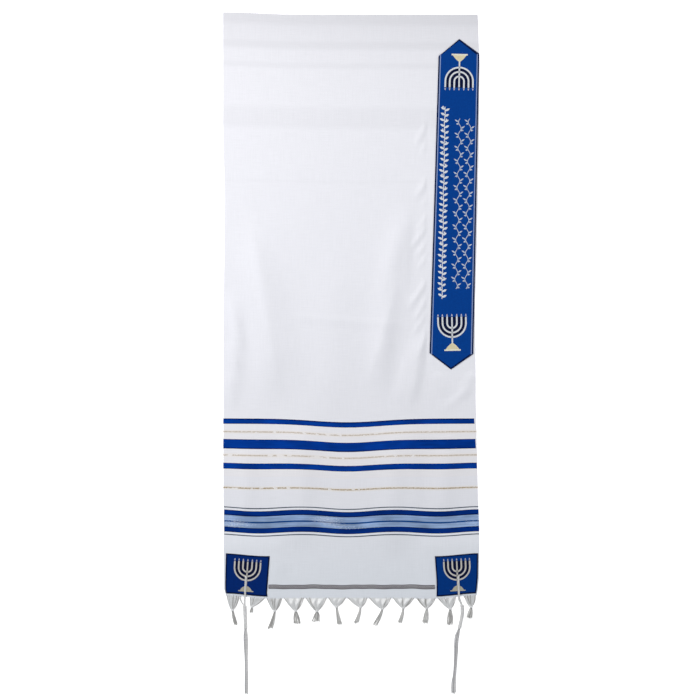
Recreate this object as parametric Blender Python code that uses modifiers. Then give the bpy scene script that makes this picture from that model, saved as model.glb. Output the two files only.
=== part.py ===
"""Tallit prayer shawl, folded once across its length and laid flat.

The long front leaf lies on top and shows its striped end, the neckband, two corner patches,
the knotted hem fringe and two tzitzit. Beyond the fold the short under leaf runs back beneath
it with the other two corners. Metres, +Z up, +Y towards the fold, +X to the wearer's collar side.
"""

import math
import random
from collections import namedtuple

import bmesh
import bpy
from mathutils import Vector

# Driving sizes of the shawl as it lies
OVERALL_LENGTH = 1.5052
FRONT_LEAF = 1.2943
UNDER_LEAF = 0.3976
HALF_SPREAD = 0.2832
WALL = 0.0012
SEAM_GAP = 0.0003

# Where the leaves end, along Y
FOLD_Y = OVERALL_LENGTH / 2
HEM_Y = FOLD_Y - FRONT_LEAF
UNDER_HEM_Y = FOLD_Y - UNDER_LEAF

# The fold is a soft half roll, inner radius first
FOLD_RADIUS = 0.0018
FOLD_ARC = math.pi * FOLD_RADIUS
ROLL_CENTRE_Y = FOLD_Y - FOLD_RADIUS - WALL
ROLL_CENTRE_Z = WALL + FOLD_RADIUS
UNDER_INSET = 0.003

# Sewn-on pieces
RIBBON = 0.0010
PATCH_HEIGHT = 0.0895
PATCH_ABOVE_HEM = 0.0052
CORNER_LIFT = 0.0022

# Neckband, from its lower point to its upper point
BAND_POINT = 0.0351
BAND_LOW_SKEW = 0.0010
BAND_HIGH_SKEW = 0.0030
BAND_LOW_UP = 0.5060
BAND_HIGH_UP = 1.2350
BAND_LOW_HALF = 0.0484
BAND_HIGH_HALF = 0.0446
BAND_LOW_X = 0.2202
BAND_HIGH_X = 0.2384

# Hem fringe; the hidden one is pressed to half its thickness
STRIP_WIDTH = 0.0045
STRIP_TOP = STRIP_WIDTH + SEAM_GAP
KNOT_HALF = 0.0034
KNOT_HEIGHT = 0.0022
TAIL_RADIUS = 0.0011
TAIL_SECTIONS = 4
FLOOR_GAP = 0.0003

# Tzitzit
EYELET_RADIUS = 0.0030
EYELET_UP = 0.0494
LOOP_WIDTH = 0.0042
LOOP_THICKNESS = 0.0016
LEFT_BACK_ASIDE = -0.0105
RIGHT_BACK_ASIDE = 0.0020
LEFT_STRAIGHT_UP = 0.0494
RIGHT_STRAIGHT_UP = 0.0030
SHANK_HALF = 0.0039
SHANK_Z = 0.0040
SHANK_SIDES = 6
SHANK_TURNS = 7
SECOND_KNOT_DROP = 0.0640
STRAND_RADIUS = 0.00064
STRAND_PITCH = 0.00175
STRINGS = 8
UNDER_HANG = 0.2000
UNDER_ROOT_HALF = Vector((0.0070, 0.0030, 0.00105))

# Grid sizes of the cloth
COLUMNS = 26
FRONT_ROWS = 52
ROLL_ROWS = 7

EdgeRow = namedtuple("EdgeRow", "up left right")
EDGE_ROWS = (
    EdgeRow(0.000, -0.2770, 0.2772),
    EdgeRow(0.014, -0.2808, 0.2798),
    EdgeRow(0.040, -0.2812, 0.2822),
    EdgeRow(0.110, -0.2818, 0.2832),
    EdgeRow(0.151, -0.2822, 0.2826),
    EdgeRow(0.218, -0.2826, 0.2802),
    EdgeRow(0.328, -0.2828, 0.2778),
    EdgeRow(0.438, -0.2828, 0.2752),
    EdgeRow(0.659, -0.2820, 0.2742),
    EdgeRow(0.770, -0.2802, 0.2777),
    EdgeRow(0.880, -0.2790, 0.2800),
    EdgeRow(1.035, -0.2832, 0.2828),
    EdgeRow(1.189, -0.2832, 0.2832),
    EdgeRow(1.294, -0.2830, 0.2790),
)

# How far the cross threads wander from straight, by their height above the hem
SAG_MIDDLE_U = -0.01
SAG_HALF_WIDTH_U = 0.19
LOBE_MIDDLE_U = -0.013
LOBE_PERIOD_U = 0.350
SagRow = namedtuple("SagRow", "up centre lobes edges fold")
SAG_ROWS = (
    SagRow(0.000, 0.0000, 0.0000, 0.0070, 0.0000),
    SagRow(0.095, 0.0005, 0.0008, 0.0050, 0.0000),
    SagRow(0.140, 0.0012, 0.0023, 0.0006, 0.0000),
    SagRow(0.200, 0.0018, 0.0023, 0.0000, 0.0000),
    SagRow(0.245, 0.0035, 0.0012, 0.0000, 0.0000),
    SagRow(0.350, 0.0075, 0.0006, 0.0000, 0.0000),
    SagRow(0.392, 0.0085, 0.0000, 0.0000, 0.0000),
    SagRow(0.900, 0.0020, 0.0000, 0.0000, 0.0010),
    SagRow(1.294, 0.0000, 0.0000, 0.0000, 0.0050),
)

# Height of the front leaf's underside over the floor, where the under leaf lies beneath it
LiftRow = namedtuple("LiftRow", "up height")
LIFT_ROWS = (
    LiftRow(0.000, 0.0000),
    LiftRow(0.440, 0.0000),
    LiftRow(0.690, 0.0028),
    LiftRow(0.820, 0.0034),
    LiftRow(1.020, 0.0034),
    LiftRow(1.100, 0.0027),
    LiftRow(1.220, 0.0030),
    LiftRow(1.291, 0.0048),
)
# The same for the under leaf, whose corners lie on their patches; the cloth has one row at each
UNDER_LIFT_ROWS = (
    LiftRow(STRIP_TOP, 0.0013),
    LiftRow(0.048, 0.0013),
    LiftRow(0.097, 0.0013),
    LiftRow(0.145, 0.0000),
    LiftRow(0.230, 0.0000),
    LiftRow(0.320, 0.0000),
)

# Soft folds of the front leaf, each a ridge from its low end to its high end
FoldRow = namedtuple("FoldRow", "name low_x low_up high_x high_up bow half_width height")
FOLD_ROWS = (
    FoldRow("left swag", -0.176, 0.400, -0.238, 0.860, 0.012, 0.030, 0.0068),
    FoldRow("right swag", 0.066, 0.430, 0.126, 0.885, -0.020, 0.024, 0.0066),
    FoldRow("hip fold", 0.128, 0.400, 0.166, 0.600, -0.012, 0.017, 0.0044),
    FoldRow("left side roll", -0.262, 0.420, -0.258, 0.700, 0.006, 0.018, 0.0042),
    FoldRow("middle swell", -0.060, 0.360, -0.040, 0.780, 0.010, 0.045, 0.0034),
    FoldRow("left flute", -0.118, 0.090, -0.112, 0.420, 0.004, 0.030, 0.0052),
    FoldRow("right flute", 0.092, 0.080, 0.100, 0.400, -0.004, 0.030, 0.0052),
    FoldRow("left stripe swell", -0.232, 0.150, -0.240, 0.360, 0.004, 0.022, 0.0034),
    FoldRow("right stripe swell", 0.205, 0.150, 0.220, 0.380, -0.006, 0.024, 0.0036),
    FoldRow("low drag line", -0.130, 0.060, -0.262, 0.130, -0.004, 0.014, 0.0020),
)

# How a tassel's fan narrows, by distance below the hem as a share of the knot's own distance
FanRow = namedtuple("FanRow", "share past spread depth")
FAN_ROWS = (
    FanRow(0.0, -0.0026, 1.00, 0.40),
    FanRow(0.0, 0.0012, 1.00, 0.50),
    FanRow(0.45, 0.0000, 0.62, 0.75),
    FanRow(1.0, -0.0050, 0.10, 1.00),
    FanRow(1.0, -0.0020, 0.00, 2.10),
    FanRow(1.0, 0.0036, 0.00, 1.70),
)
FAN_DEPTH = 0.001

# The knotted fringe, one row for each tassel, in X and in distance below the hem
TasselRow = namedtuple("TasselRow", "left right knot_x knot_drop tip_x tip_drop splay")
TASSEL_ROWS = (
    TasselRow(-0.2762, -0.2459, -0.2621, 0.0313, -0.2546, 0.0647, 0.0022),
    TasselRow(-0.2236, -0.1888, -0.2194, 0.0193, -0.2212, 0.0320, 0.0024),
    TasselRow(-0.1876, -0.1513, -0.1688, 0.0272, -0.1792, 0.0680, 0.0038),
    TasselRow(-0.1501, -0.1030, -0.1226, 0.0268, -0.1196, 0.0575, 0.0064),
    TasselRow(-0.1018, -0.0525, -0.0759, 0.0276, -0.0790, 0.0520, 0.0082),
    TasselRow(-0.0513, -0.0105, -0.0324, 0.0180, -0.0256, 0.0595, 0.0040),
    TasselRow(-0.0093, 0.0368, 0.0204, 0.0190, 0.0114, 0.0565, 0.0040),
    TasselRow(0.0380, 0.0896, 0.0686, 0.0226, 0.0527, 0.0600, 0.0042),
    TasselRow(0.0908, 0.1410, 0.1150, 0.0205, 0.1077, 0.0545, 0.0035),
    TasselRow(0.1422, 0.1880, 0.1668, 0.0212, 0.1630, 0.0555, 0.0052),
    TasselRow(0.1892, 0.2320, 0.2183, 0.0235, 0.2176, 0.0604, 0.0058),
    TasselRow(0.2480, 0.2755, 0.2646, 0.0243, 0.2605, 0.0504, 0.0050),
)

# The cloth threads under a patch's two sides, at its lower and upper end; side is -1 on the left
PatchRow = namedtuple("PatchRow", "side inner_low inner_high outer_low outer_high")
PATCH_ROWS = (
    PatchRow(-1, 0.3323, 0.3200, 0.4958, 0.4908),
    PatchRow(1, 0.3385, 0.3255, 0.4945, 0.4945),
)

# The way of a tzitzit's loop: distance above the hem, height, and its share of the step aside at the back
RouteRow = namedtuple("RouteRow", "up z aside")

# The line that each tzitzit hangs in, from its first knot down, in X and in distance below the hem
HangRow = namedtuple("HangRow", "x drop")
LEFT_HANG = (
    HangRow(-0.2352, 0.0180),
    HangRow(-0.2338, 0.0480),
    HangRow(-0.2330, 0.0810),
    HangRow(-0.2322, 0.1140),
    HangRow(-0.2318, 0.1580),
    HangRow(-0.2312, 0.2108),
)
RIGHT_HANG = (
    HangRow(0.2440, 0.0160),
    HangRow(0.2462, 0.0300),
    HangRow(0.2392, 0.0620),
    HangRow(0.2322, 0.0880),
    HangRow(0.2304, 0.1300),
    HangRow(0.2290, 0.1640),
    HangRow(0.2254, 0.1880),
    HangRow(0.2262, 0.2108),
)
LEFT_EYELET_X = -0.2325
RIGHT_EYELET_X = 0.2364
LEFT_UNDER_HANG_X = -0.2326
RIGHT_UNDER_HANG_X = 0.2412


def ease(start, end, value):
    """0 before start, 1 past end, and a smooth step between; start may lie above end."""
    share = min(1.0, max(0.0, (value - start) / (end - start)))
    return share * share * (3 - 2 * share)


def read(rows, key, column, at):
    """One column of a table, read in straight lines between its rows."""
    below = rows[0]
    for above in rows[1:]:
        if at <= getattr(above, key):
            span = getattr(above, key) - getattr(below, key)
            share = min(1.0, max(0.0, (at - getattr(below, key)) / span))
            low, high = getattr(below, column), getattr(above, column)
            return low + (high - low) * share
        below = above
    return getattr(rows[-1], column)


def side_x(u, up, inset=0.0):
    """X of the cloth's thread u, from -0.5 at the left selvedge to 0.5 at the right one."""
    left = read(EDGE_ROWS, "up", "left", up) + inset
    right = read(EDGE_ROWS, "up", "right", up) - inset
    return left + (right - left) * (u + 0.5)


def wander(u, up):
    """How far a cross thread is drawn out of straight along Y."""
    bell = math.exp(-(((u - SAG_MIDDLE_U) / SAG_HALF_WIDTH_U) ** 2))
    wave = math.cos(2 * math.pi * (u - LOBE_MIDDLE_U) / LOBE_PERIOD_U)
    centre = read(SAG_ROWS, "up", "centre", up) * bell
    lobes = read(SAG_ROWS, "up", "lobes", up) * wave
    edges = read(SAG_ROWS, "up", "edges", up) * ease(0.33, 0.5, abs(u))
    fold = read(SAG_ROWS, "up", "fold", up) * ease(-0.5, -0.2, u)
    return edges - centre - lobes - fold


def corner_share(x, up):
    """1 on the two stiff corners that the tzitzit lift, 0 away from them."""
    return ease(0.135, 0.172, abs(x)) * ease(0.150, 0.110, up)


def band_share(x, up):
    """1 where the sewn neckband keeps the cloth flat, 0 away from it."""
    return ease(0.140, 0.168, x) * ease(0.465, 0.500, up)


def fold_height(row, x, up):
    """Height of one soft fold at a place on the front leaf."""
    along_x, along_up = row.high_x - row.low_x, row.high_up - row.low_up
    length = math.hypot(along_x, along_up)
    share = ((x - row.low_x) * along_x + (up - row.low_up) * along_up) / length**2
    if not 0 < share < 1:
        return 0.0
    aside = ((x - row.low_x) * along_up - (up - row.low_up) * along_x) / length
    aside -= row.bow * 4 * share * (1 - share)
    ends = ease(0, 0.3, share) * ease(1, 0.7, share)
    return row.height * ends * math.exp(-((aside / row.half_width) ** 2))


def front_under_z(x, y):
    """Height of the front leaf's underside."""
    up = y - HEM_Y
    corner = corner_share(x, up)
    folds = sum(fold_height(row, x, up) for row in FOLD_ROWS)
    folds *= (1 - corner) * (1 - band_share(x, up))
    return read(LIFT_ROWS, "up", "height", up) + CORNER_LIFT * corner + folds


def cloth_point(u, along):
    """A point of the cloth's inner face; along runs from the front hem over the fold to the under hem."""
    front_end = ROLL_CENTRE_Y - HEM_Y
    fold_shift = wander(u, FRONT_LEAF)
    if along <= front_end:
        y = HEM_Y + along + wander(u, along)
        x = side_x(u, along)
        return Vector((x, y, front_under_z(x, y)))
    if along <= front_end + FOLD_ARC:
        turn = (along - front_end) / FOLD_RADIUS
        y = ROLL_CENTRE_Y + fold_shift + FOLD_RADIUS * math.sin(turn)
        z = ROLL_CENTRE_Z + FOLD_RADIUS * math.cos(turn)
        return Vector((side_x(u, FRONT_LEAF), y, z))
    back = along - front_end - FOLD_ARC
    return under_point(u, back)


def under_point(u, back):
    """A point of the under leaf's upper face, back from the roll towards its own hem."""
    run = ROLL_CENTRE_Y - UNDER_HEM_Y
    y = ROLL_CENTRE_Y - back + wander(u, FRONT_LEAF) * (1 - min(1.0, back / run))
    inset = UNDER_INSET * ease(0.0, 0.06, back)
    z = WALL + read(UNDER_LIFT_ROWS, "up", "height", y - UNDER_HEM_Y)
    return Vector((side_x(u, y - HEM_Y, inset), y, z))


def collection(name):
    """A collection in the scene."""
    made = bpy.data.collections.new(name)
    bpy.context.scene.collection.children.link(made)
    return made


def finish_of(name, colour, roughness, sheen):
    """A cloth or yarn finish."""
    material = bpy.data.materials.new(name)
    material.use_nodes = True
    shader = material.node_tree.nodes["Principled BSDF"]
    shader.inputs["Base Color"].default_value = (*colour, 1.0)
    shader.inputs["Roughness"].default_value = roughness
    shader.inputs["Sheen Weight"].default_value = sheen
    return material


def grid_mesh(name, columns, rows, place):
    """A grid whose points are set by place(share across, share along)."""
    mesh = bpy.data.meshes.new(name)
    grid = bmesh.new()
    bmesh.ops.create_grid(grid, x_segments=columns, y_segments=rows, size=0.5)
    for vertex in grid.verts:
        vertex.co = place(vertex.co.x + 0.5, vertex.co.y + 0.5)
    grid.to_mesh(mesh)
    grid.free()
    return mesh


def thicken(obj, thickness, outward=True):
    """Gives an open surface its wall on one side."""
    wall = obj.modifiers.new("wall", "SOLIDIFY")
    wall.thickness = thickness
    wall.offset = 1.0 if outward else -1.0


def add_object(name, mesh, group, material):
    """A named sub-part with its finish."""
    obj = bpy.data.objects.new(name, mesh)
    obj.data.materials.append(material)
    group.objects.link(obj)
    return obj


def hide_helper(obj):
    """Marks a cutter or an ingredient, which isn't a part itself."""
    obj.hide_render = True
    obj.display_type = "WIRE"


def loft_mesh(name, sections):
    """A closed tube through sections that have the same number of points."""
    mesh = bpy.data.meshes.new(name)
    tube = bmesh.new()
    rings = [[tube.verts.new(point) for point in section] for section in sections]
    for ring, following in zip(rings, rings[1:]):
        for i in range(len(ring)):
            j = (i + 1) % len(ring)
            tube.faces.new((ring[i], ring[j], following[j], following[i]))
    tube.faces.new(rings[0])
    tube.faces.new(reversed(rings[-1]))
    bmesh.ops.recalc_face_normals(tube, faces=tube.faces)
    tube.to_mesh(mesh)
    tube.free()
    return mesh


def ball_mesh(name, centre, radii):
    """A knot's rounded body."""
    mesh = bpy.data.meshes.new(name)
    ball = bmesh.new()
    bmesh.ops.create_icosphere(ball, subdivisions=2, radius=1.0)
    for vertex in ball.verts:
        vertex.co = Vector(centre) + Vector([a * b for a, b in zip(vertex.co, radii)])
    ball.to_mesh(mesh)
    ball.free()
    return mesh


def fuse(base, ingredients, group):
    """Joins the ingredients to the base as one body."""
    for mesh in ingredients:
        obj = bpy.data.objects.new(mesh.name, mesh)
        group.objects.link(obj)
        hide_helper(obj)
    join = base.modifiers.new("fuse", "BOOLEAN")
    join.operation = "UNION"
    join.solver = "EXACT"
    join.operand_type = "COLLECTION"
    join.collection = group


def strand_section(x, y, z, radius):
    """A three-sided strand's section, across its run along Y."""
    return [
        Vector((x - 0.95 * radius, y, z - 0.7 * radius)),
        Vector((x + 0.95 * radius, y, z - 0.7 * radius)),
        Vector((x, y, z + radius)),
    ]


def build_cloth(group, material):
    """The woven cloth: front leaf, fold and under leaf in one wall."""
    front_end = ROLL_CENTRE_Y - HEM_Y
    under_end = front_end + FOLD_ARC + ROLL_CENTRE_Y - UNDER_HEM_Y
    stops = [STRIP_TOP + (front_end - STRIP_TOP) * i / FRONT_ROWS for i in range(FRONT_ROWS)]
    stops += [front_end + FOLD_ARC * i / ROLL_ROWS for i in range(ROLL_ROWS + 1)]
    stops += [under_end - row.up for row in reversed(UNDER_LIFT_ROWS)]
    rows = len(stops) - 1

    def place(across, along):
        return cloth_point(across - 0.5, stops[round(along * rows)])

    mesh = grid_mesh("shawl_cloth", COLUMNS, rows, place)
    cloth = add_object("shawl_cloth", mesh, group, material)
    thicken(cloth, WALL)
    return cloth


def build_neckband(group, material):
    """The atarah: a ribbon with pointed ends, sewn down along the collar edge."""

    def place(across, along):
        a = 2 * across - 1
        low = BAND_LOW_UP + BAND_POINT * abs(a) - BAND_LOW_SKEW * a
        high = BAND_HIGH_UP - BAND_POINT * abs(a) + BAND_HIGH_SKEW * a
        up = low + (high - low) * along
        share = (up - BAND_LOW_UP) / (BAND_HIGH_UP - BAND_LOW_UP)
        half = BAND_LOW_HALF + (BAND_HIGH_HALF - BAND_LOW_HALF) * share
        x = BAND_LOW_X + (BAND_HIGH_X - BAND_LOW_X) * share + a * half
        y = HEM_Y + up
        return Vector((x, y, front_under_z(x, y) + WALL + SEAM_GAP))

    band = add_object("atarah_band", grid_mesh("atarah_band", 6, 24, place), group, material)
    thicken(band, RIBBON)
    return band


def patch_thread(row, across, along):
    """The cloth thread under a patch, from its inner to its outer edge; the top is a little wider."""
    inner = row.inner_low + (row.inner_high - row.inner_low) * along
    outer = row.outer_low + (row.outer_high - row.outer_low) * along
    return row.side * (inner + (outer - inner) * across)


def build_front_patch(name, row, group, material):
    """A corner patch on the front leaf."""

    def place(across, along):
        u = patch_thread(row, across, along)
        up = PATCH_ABOVE_HEM + PATCH_HEIGHT * along
        x, y = side_x(u, up), HEM_Y + up + wander(u, up)
        return Vector((x, y, front_under_z(x, y) + WALL + SEAM_GAP))

    patch = add_object(name, grid_mesh(name, 6, 5, place), group, material)
    thicken(patch, RIBBON, outward=row.side > 0)
    return patch


def build_under_patch(name, row, group, material):
    """A corner patch on the under leaf's outer face, which lies on the floor."""

    def place(across, along):
        u = patch_thread(row, across, along)
        y = UNDER_HEM_Y + PATCH_ABOVE_HEM + PATCH_HEIGHT * along
        return Vector((side_x(u, y - HEM_Y, UNDER_INSET), y, 0.0))

    patch = add_object(name, grid_mesh(name, 2, 2, place), group, material)
    thicken(patch, RIBBON, outward=row.side > 0)
    return patch


def tassel_mesh(name, row, edge_y, strip_z, points, flat):
    """A gathered fan of hem yarns that starts inside the strip and narrows into its knot."""
    half = (row.right - row.left) / 2
    middle = (row.right + row.left) / 2
    sections = []
    for fan in FAN_ROWS:
        drop = fan.share * row.knot_drop + fan.past
        inside = drop < 0
        share = 0.0 if inside else min(1.0, drop / row.knot_drop)
        x_mid = middle + (row.knot_x - middle) * share
        reach = max(half * fan.spread, KNOT_HALF * (0.75 if fan.spread > 0 else 1.0))
        thick = FAN_DEPTH * fan.depth * flat
        rest_z = max(strip_z * (1 - share), FLOOR_GAP) + thick
        z_mid = strip_z + WALL / 2 if inside else rest_z
        top = []
        for i in range(points):
            side = 2 * i / (points - 1) - 1
            ridge = 0.25 * thick * (1 if i % 2 else -1)
            crown = thick * (1 - 0.5 * side * side) + ridge
            top.append(Vector((x_mid + side * reach, edge_y - drop, z_mid + crown)))
        bottom = [
            Vector((x_mid + side * reach, edge_y - drop, z_mid - thick)) for side in (0.75, -0.75)
        ]
        sections.append(top + bottom)
    return loft_mesh(name, sections)


def tail_mesh(name, row, hem_y, lane, jitter, flat):
    """One loose strand below a tassel's knot; lane runs from -1 to 1 across the tassel."""
    radius = TAIL_RADIUS * flat
    knot_z = FLOOR_GAP + KNOT_HEIGHT * flat
    start = row.knot_drop + 0.0016
    reach = (row.tip_drop - start) * (1 - 0.16 * jitter)
    bend = row.splay * 0.4 * math.sin(jitter * 9.0)
    sections = []
    for i in range(TAIL_SECTIONS):
        share = i / (TAIL_SECTIONS - 1)
        drop = start + reach * share
        x = row.knot_x + (row.tip_x - row.knot_x) * share**1.3
        x += lane * (KNOT_HALF * 0.62 + row.splay * share**0.8) + bend * math.sin(math.pi * share)
        z = knot_z * (1 - share) + (radius + FLOOR_GAP) * share
        z += 0.8 * radius * (round(lane * 2) % 2) * (1 - 0.4 * share)
        sections.append(strand_section(x, hem_y - drop, z, radius * (1 - 0.15 * share)))
    return loft_mesh(name, sections)


def build_fringe(name, strip_point, tails, points, flat, group, helpers, material):
    """The hem's last narrow strip, parted from the cloth, with its knotted tassels."""

    def place(across, along):
        return strip_point(across - 0.5, STRIP_WIDTH * along)

    strip = add_object(name, grid_mesh(name, COLUMNS, 1, place), group, material)
    thicken(strip, WALL)
    chance = random.Random(name)
    ingredients = []
    for number, row in enumerate(TASSEL_ROWS):
        middle = (row.left + row.right) / 2
        root = strip_point(middle / (2 * HALF_SPREAD), 0.0)
        fan_name = f"{name}_fan_{number:02d}"
        ingredients.append(tassel_mesh(fan_name, row, root.y, root.z, points, flat))
        for i in range(tails):
            lane = 2 * i / (tails - 1) - 1
            tail_name = f"{name}_tail_{number:02d}_{i}"
            ingredients.append(tail_mesh(tail_name, row, root.y, lane, chance.random(), flat))
    fuse(strip, ingredients, helpers)
    return strip


def hang_x(rows, drop):
    """X of a tzitzit's line at a distance below the hem, with its bends rounded."""
    near = [drop + offset for offset in (-0.010, -0.005, 0.0, 0.005, 0.010)]
    return sum(read(rows, "drop", "x", at) for at in near) / len(near)


def loop_mesh(name, eyelet_x, rows, corner_z, back_aside, straight_up):
    """The doubled strings through the corner's eyelet; they hang straight down to straight_up."""
    top_z = corner_z + WALL + SEAM_GAP + RIBBON + SEAM_GAP + LOOP_THICKNESS / 2
    low_z = corner_z - SEAM_GAP - LOOP_THICKNESS / 2
    knot_drop = rows[0].drop
    route = (
        RouteRow(-knot_drop, top_z * 0.62, 0.0),
        RouteRow(-0.0110, top_z * 0.84, 0.0),
        RouteRow(-0.0020, top_z, 0.0),
        RouteRow(EYELET_UP - 0.0034, top_z, 0.0),
        RouteRow(EYELET_UP - 0.0006, top_z - 0.0006, 0.0),
        RouteRow(EYELET_UP + 0.0002, top_z - 0.0022, 0.0),
        RouteRow(EYELET_UP + 0.0002, low_z + 0.0014, 0.0),
        RouteRow(EYELET_UP - 0.0006, low_z + 0.0003, 0.0),
        RouteRow(EYELET_UP - 0.0034, low_z, 0.06),
        RouteRow(0.0000, low_z, 1.0),
        RouteRow(-0.0060, low_z, 0.75),
        RouteRow(-0.0110, low_z + 0.0006, 0.45),
        RouteRow(-knot_drop, top_z * 0.44, 0.0),
    )
    sections = []
    for i, stop in enumerate(route):
        before, after = route[max(0, i - 1)], route[min(len(route) - 1, i + 1)]
        run = Vector((0, after.up - before.up, after.z - before.z)).normalized()
        outward = Vector((0, -run.z, run.y))
        share = ease(-knot_drop, straight_up, stop.up)
        x = rows[0].x + (eyelet_x - rows[0].x) * share + back_aside * stop.aside
        centre = Vector((x, HEM_Y + stop.up, stop.z))
        sections.append(
            [
                centre + Vector((a * LOOP_WIDTH / 2, 0, 0)) + outward * b * LOOP_THICKNESS / 2
                for a, b in ((-1, 0), (-0.62, -1), (0.62, -1), (1, 0), (0.62, 1), (-0.62, 1))
            ]
        )
    return loft_mesh(name, sections)


def shank_mesh(name, rows, start, end):
    """The wound shank between the two knots, with the windings as ridges."""
    sections = []
    for i in range(2 * SHANK_TURNS + 1):
        drop = start + (end - start) * i / (2 * SHANK_TURNS)
        half = SHANK_HALF if i % 2 else 0.84 * SHANK_HALF
        centre = Vector((hang_x(rows, drop), HEM_Y - drop, SHANK_Z))
        angles = [2 * math.pi * k / SHANK_SIDES for k in range(SHANK_SIDES)]
        sections.append(
            [centre + Vector((half * math.cos(a), 0, 0.92 * half * math.sin(a))) for a in angles]
        )
    return loft_mesh(name, sections)


def string_mesh(name, rows, hem_y, start, end, lane, layer, knot_z, tuck, steps):
    """One loose string below the last knot, in its own lane beside the others."""
    sections = []
    for i in range(steps):
        share = i / (steps - 1)
        drop = start + (end - start) * share
        opened = ease(0.0, 0.14, share)
        gather = tuck + (1 - tuck) * opened
        closing = 1 - 0.18 * ease(0.10, 0.40, share)
        x = hang_x(rows, drop) + lane * STRAND_PITCH * gather * closing
        rest_z = STRAND_RADIUS + FLOOR_GAP + layer * STRAND_PITCH
        z = rest_z + (knot_z - rest_z) * (1 - opened)
        sections.append(strand_section(x, hem_y - drop, z, STRAND_RADIUS))
    return loft_mesh(name, sections)


def build_tzitzit(name, eyelet_x, back_aside, straight_up, rows, group, helpers, material):
    """A front tzitzit: loop, first knot, wound shank, second knot and eight strings."""
    first, last = rows[0].drop, SECOND_KNOT_DROP
    knot = ball_mesh(name, (rows[0].x, HEM_Y - first, 0.0042), (0.0048, 0.0046, 0.0039))
    base = add_object(name, knot, group, material)
    second = (hang_x(rows, last), HEM_Y - last, 0.0039)
    ingredients = [
        loop_mesh(name + "_loop", eyelet_x, rows, CORNER_LIFT, back_aside, straight_up),
        shank_mesh(name + "_shank", rows, first, last),
        ball_mesh(name + "_second_knot", second, (0.0045, 0.0042, 0.0036)),
    ]
    chance = random.Random(name)
    lanes = [(lane, 0) for lane in (-2, -1, 0, 1, 2)] + [(lane, 1) for lane in (-1, 0, 1)]
    for number, (lane, layer) in enumerate(lanes):
        end = rows[-1].drop - 0.004 * chance.random()
        string = f"{name}_string_{number}"
        ingredients.append(
            string_mesh(string, rows, HEM_Y, last, end, lane, layer, SHANK_Z, 0.45, 9)
        )
    fuse(base, ingredients, helpers)
    return base


def build_under_tzitzit(name, x, group, helpers, material):
    """A hidden tzitzit, pressed flat under the front leaf: a root and eight strings side by side."""
    start = SEAM_GAP + UNDER_ROOT_HALF.y
    rows = (HangRow(x, start), HangRow(x, UNDER_HANG))
    root_z = FLOOR_GAP + UNDER_ROOT_HALF.z
    root = ball_mesh(name, (x, UNDER_HEM_Y - start, root_z), UNDER_ROOT_HALF)
    base = add_object(name, root, group, material)
    ingredients = []
    for i in range(STRINGS):
        lane = i - (STRINGS - 1) / 2
        string = f"{name}_string_{i}"
        ingredients.append(
            string_mesh(string, rows, UNDER_HEM_Y, start, UNDER_HANG, lane, 0, root_z, 1, 4)
        )
    fuse(base, ingredients, helpers)
    return base


def cut_eyelet(panels, x, helpers):
    """Opens the eyelet that a tzitzit passes through, in the cloth and its patch."""
    bpy.ops.mesh.primitive_cylinder_add(
        vertices=12,
        radius=EYELET_RADIUS,
        depth=0.04,
        location=(x, HEM_Y + EYELET_UP, 0.0),
    )
    cutter = bpy.context.object
    cutter.name = f"eyelet_cutter_{'left' if x < 0 else 'right'}"
    for owner in cutter.users_collection:
        owner.objects.unlink(cutter)
    helpers.objects.link(cutter)
    hide_helper(cutter)
    for panel in panels:
        cut = panel.modifiers.new("eyelet", "BOOLEAN")
        cut.operation = "DIFFERENCE"
        cut.solver = "EXACT"
        cut.object = cutter


def main():
    for obj in list(bpy.data.objects):
        bpy.data.objects.remove(obj)
    parts = collection("tallit")
    cutters = collection("cutters")
    white = finish_of("white_cloth", (0.83, 0.83, 0.86), 0.85, 0.25)
    blue = finish_of("blue_ribbon", (0.008, 0.045, 0.21), 0.45, 0.15)
    yarn = finish_of("white_yarn", (0.76, 0.76, 0.77), 0.80, 0.30)

    cloth = build_cloth(parts, white)
    build_neckband(parts, blue)
    left_row, right_row = PATCH_ROWS
    left_patch = build_front_patch("corner_patch_front_left", left_row, parts, blue)
    right_patch = build_front_patch("corner_patch_front_right", right_row, parts, blue)
    build_under_patch("corner_patch_under_left", left_row, parts, blue)
    build_under_patch("corner_patch_under_right", right_row, parts, blue)

    def front_strip(u, up):
        x, y = side_x(u, up), HEM_Y + up + wander(u, up)
        return Vector((x, y, front_under_z(x, y)))

    def under_strip(u, up):
        y = UNDER_HEM_Y + up
        z = UNDER_LIFT_ROWS[0].height
        return Vector((side_x(u, y - HEM_Y, UNDER_INSET), y, z))

    build_fringe(
        "hem_fringe_front", front_strip, 5, 6, 1.0,
        parts, collection("front fringe"), yarn,
    )
    build_fringe(
        "hem_fringe_under", under_strip, 2, 3, 0.5,
        parts, collection("under fringe"), yarn,
    )
    build_tzitzit(
        "tzitzit_front_left", LEFT_EYELET_X, LEFT_BACK_ASIDE, LEFT_STRAIGHT_UP, LEFT_HANG,
        parts, collection("left tzitzit"), yarn,
    )
    build_tzitzit(
        "tzitzit_front_right", RIGHT_EYELET_X, RIGHT_BACK_ASIDE, RIGHT_STRAIGHT_UP, RIGHT_HANG,
        parts, collection("right tzitzit"), yarn,
    )
    build_under_tzitzit(
        "tzitzit_under_left", LEFT_UNDER_HANG_X, parts, collection("under left strings"), yarn
    )
    build_under_tzitzit(
        "tzitzit_under_right", RIGHT_UNDER_HANG_X, parts, collection("under right strings"), yarn
    )
    cut_eyelet((cloth, left_patch), LEFT_EYELET_X, cutters)
    cut_eyelet((cloth, right_patch), RIGHT_EYELET_X, cutters)


main()
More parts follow.
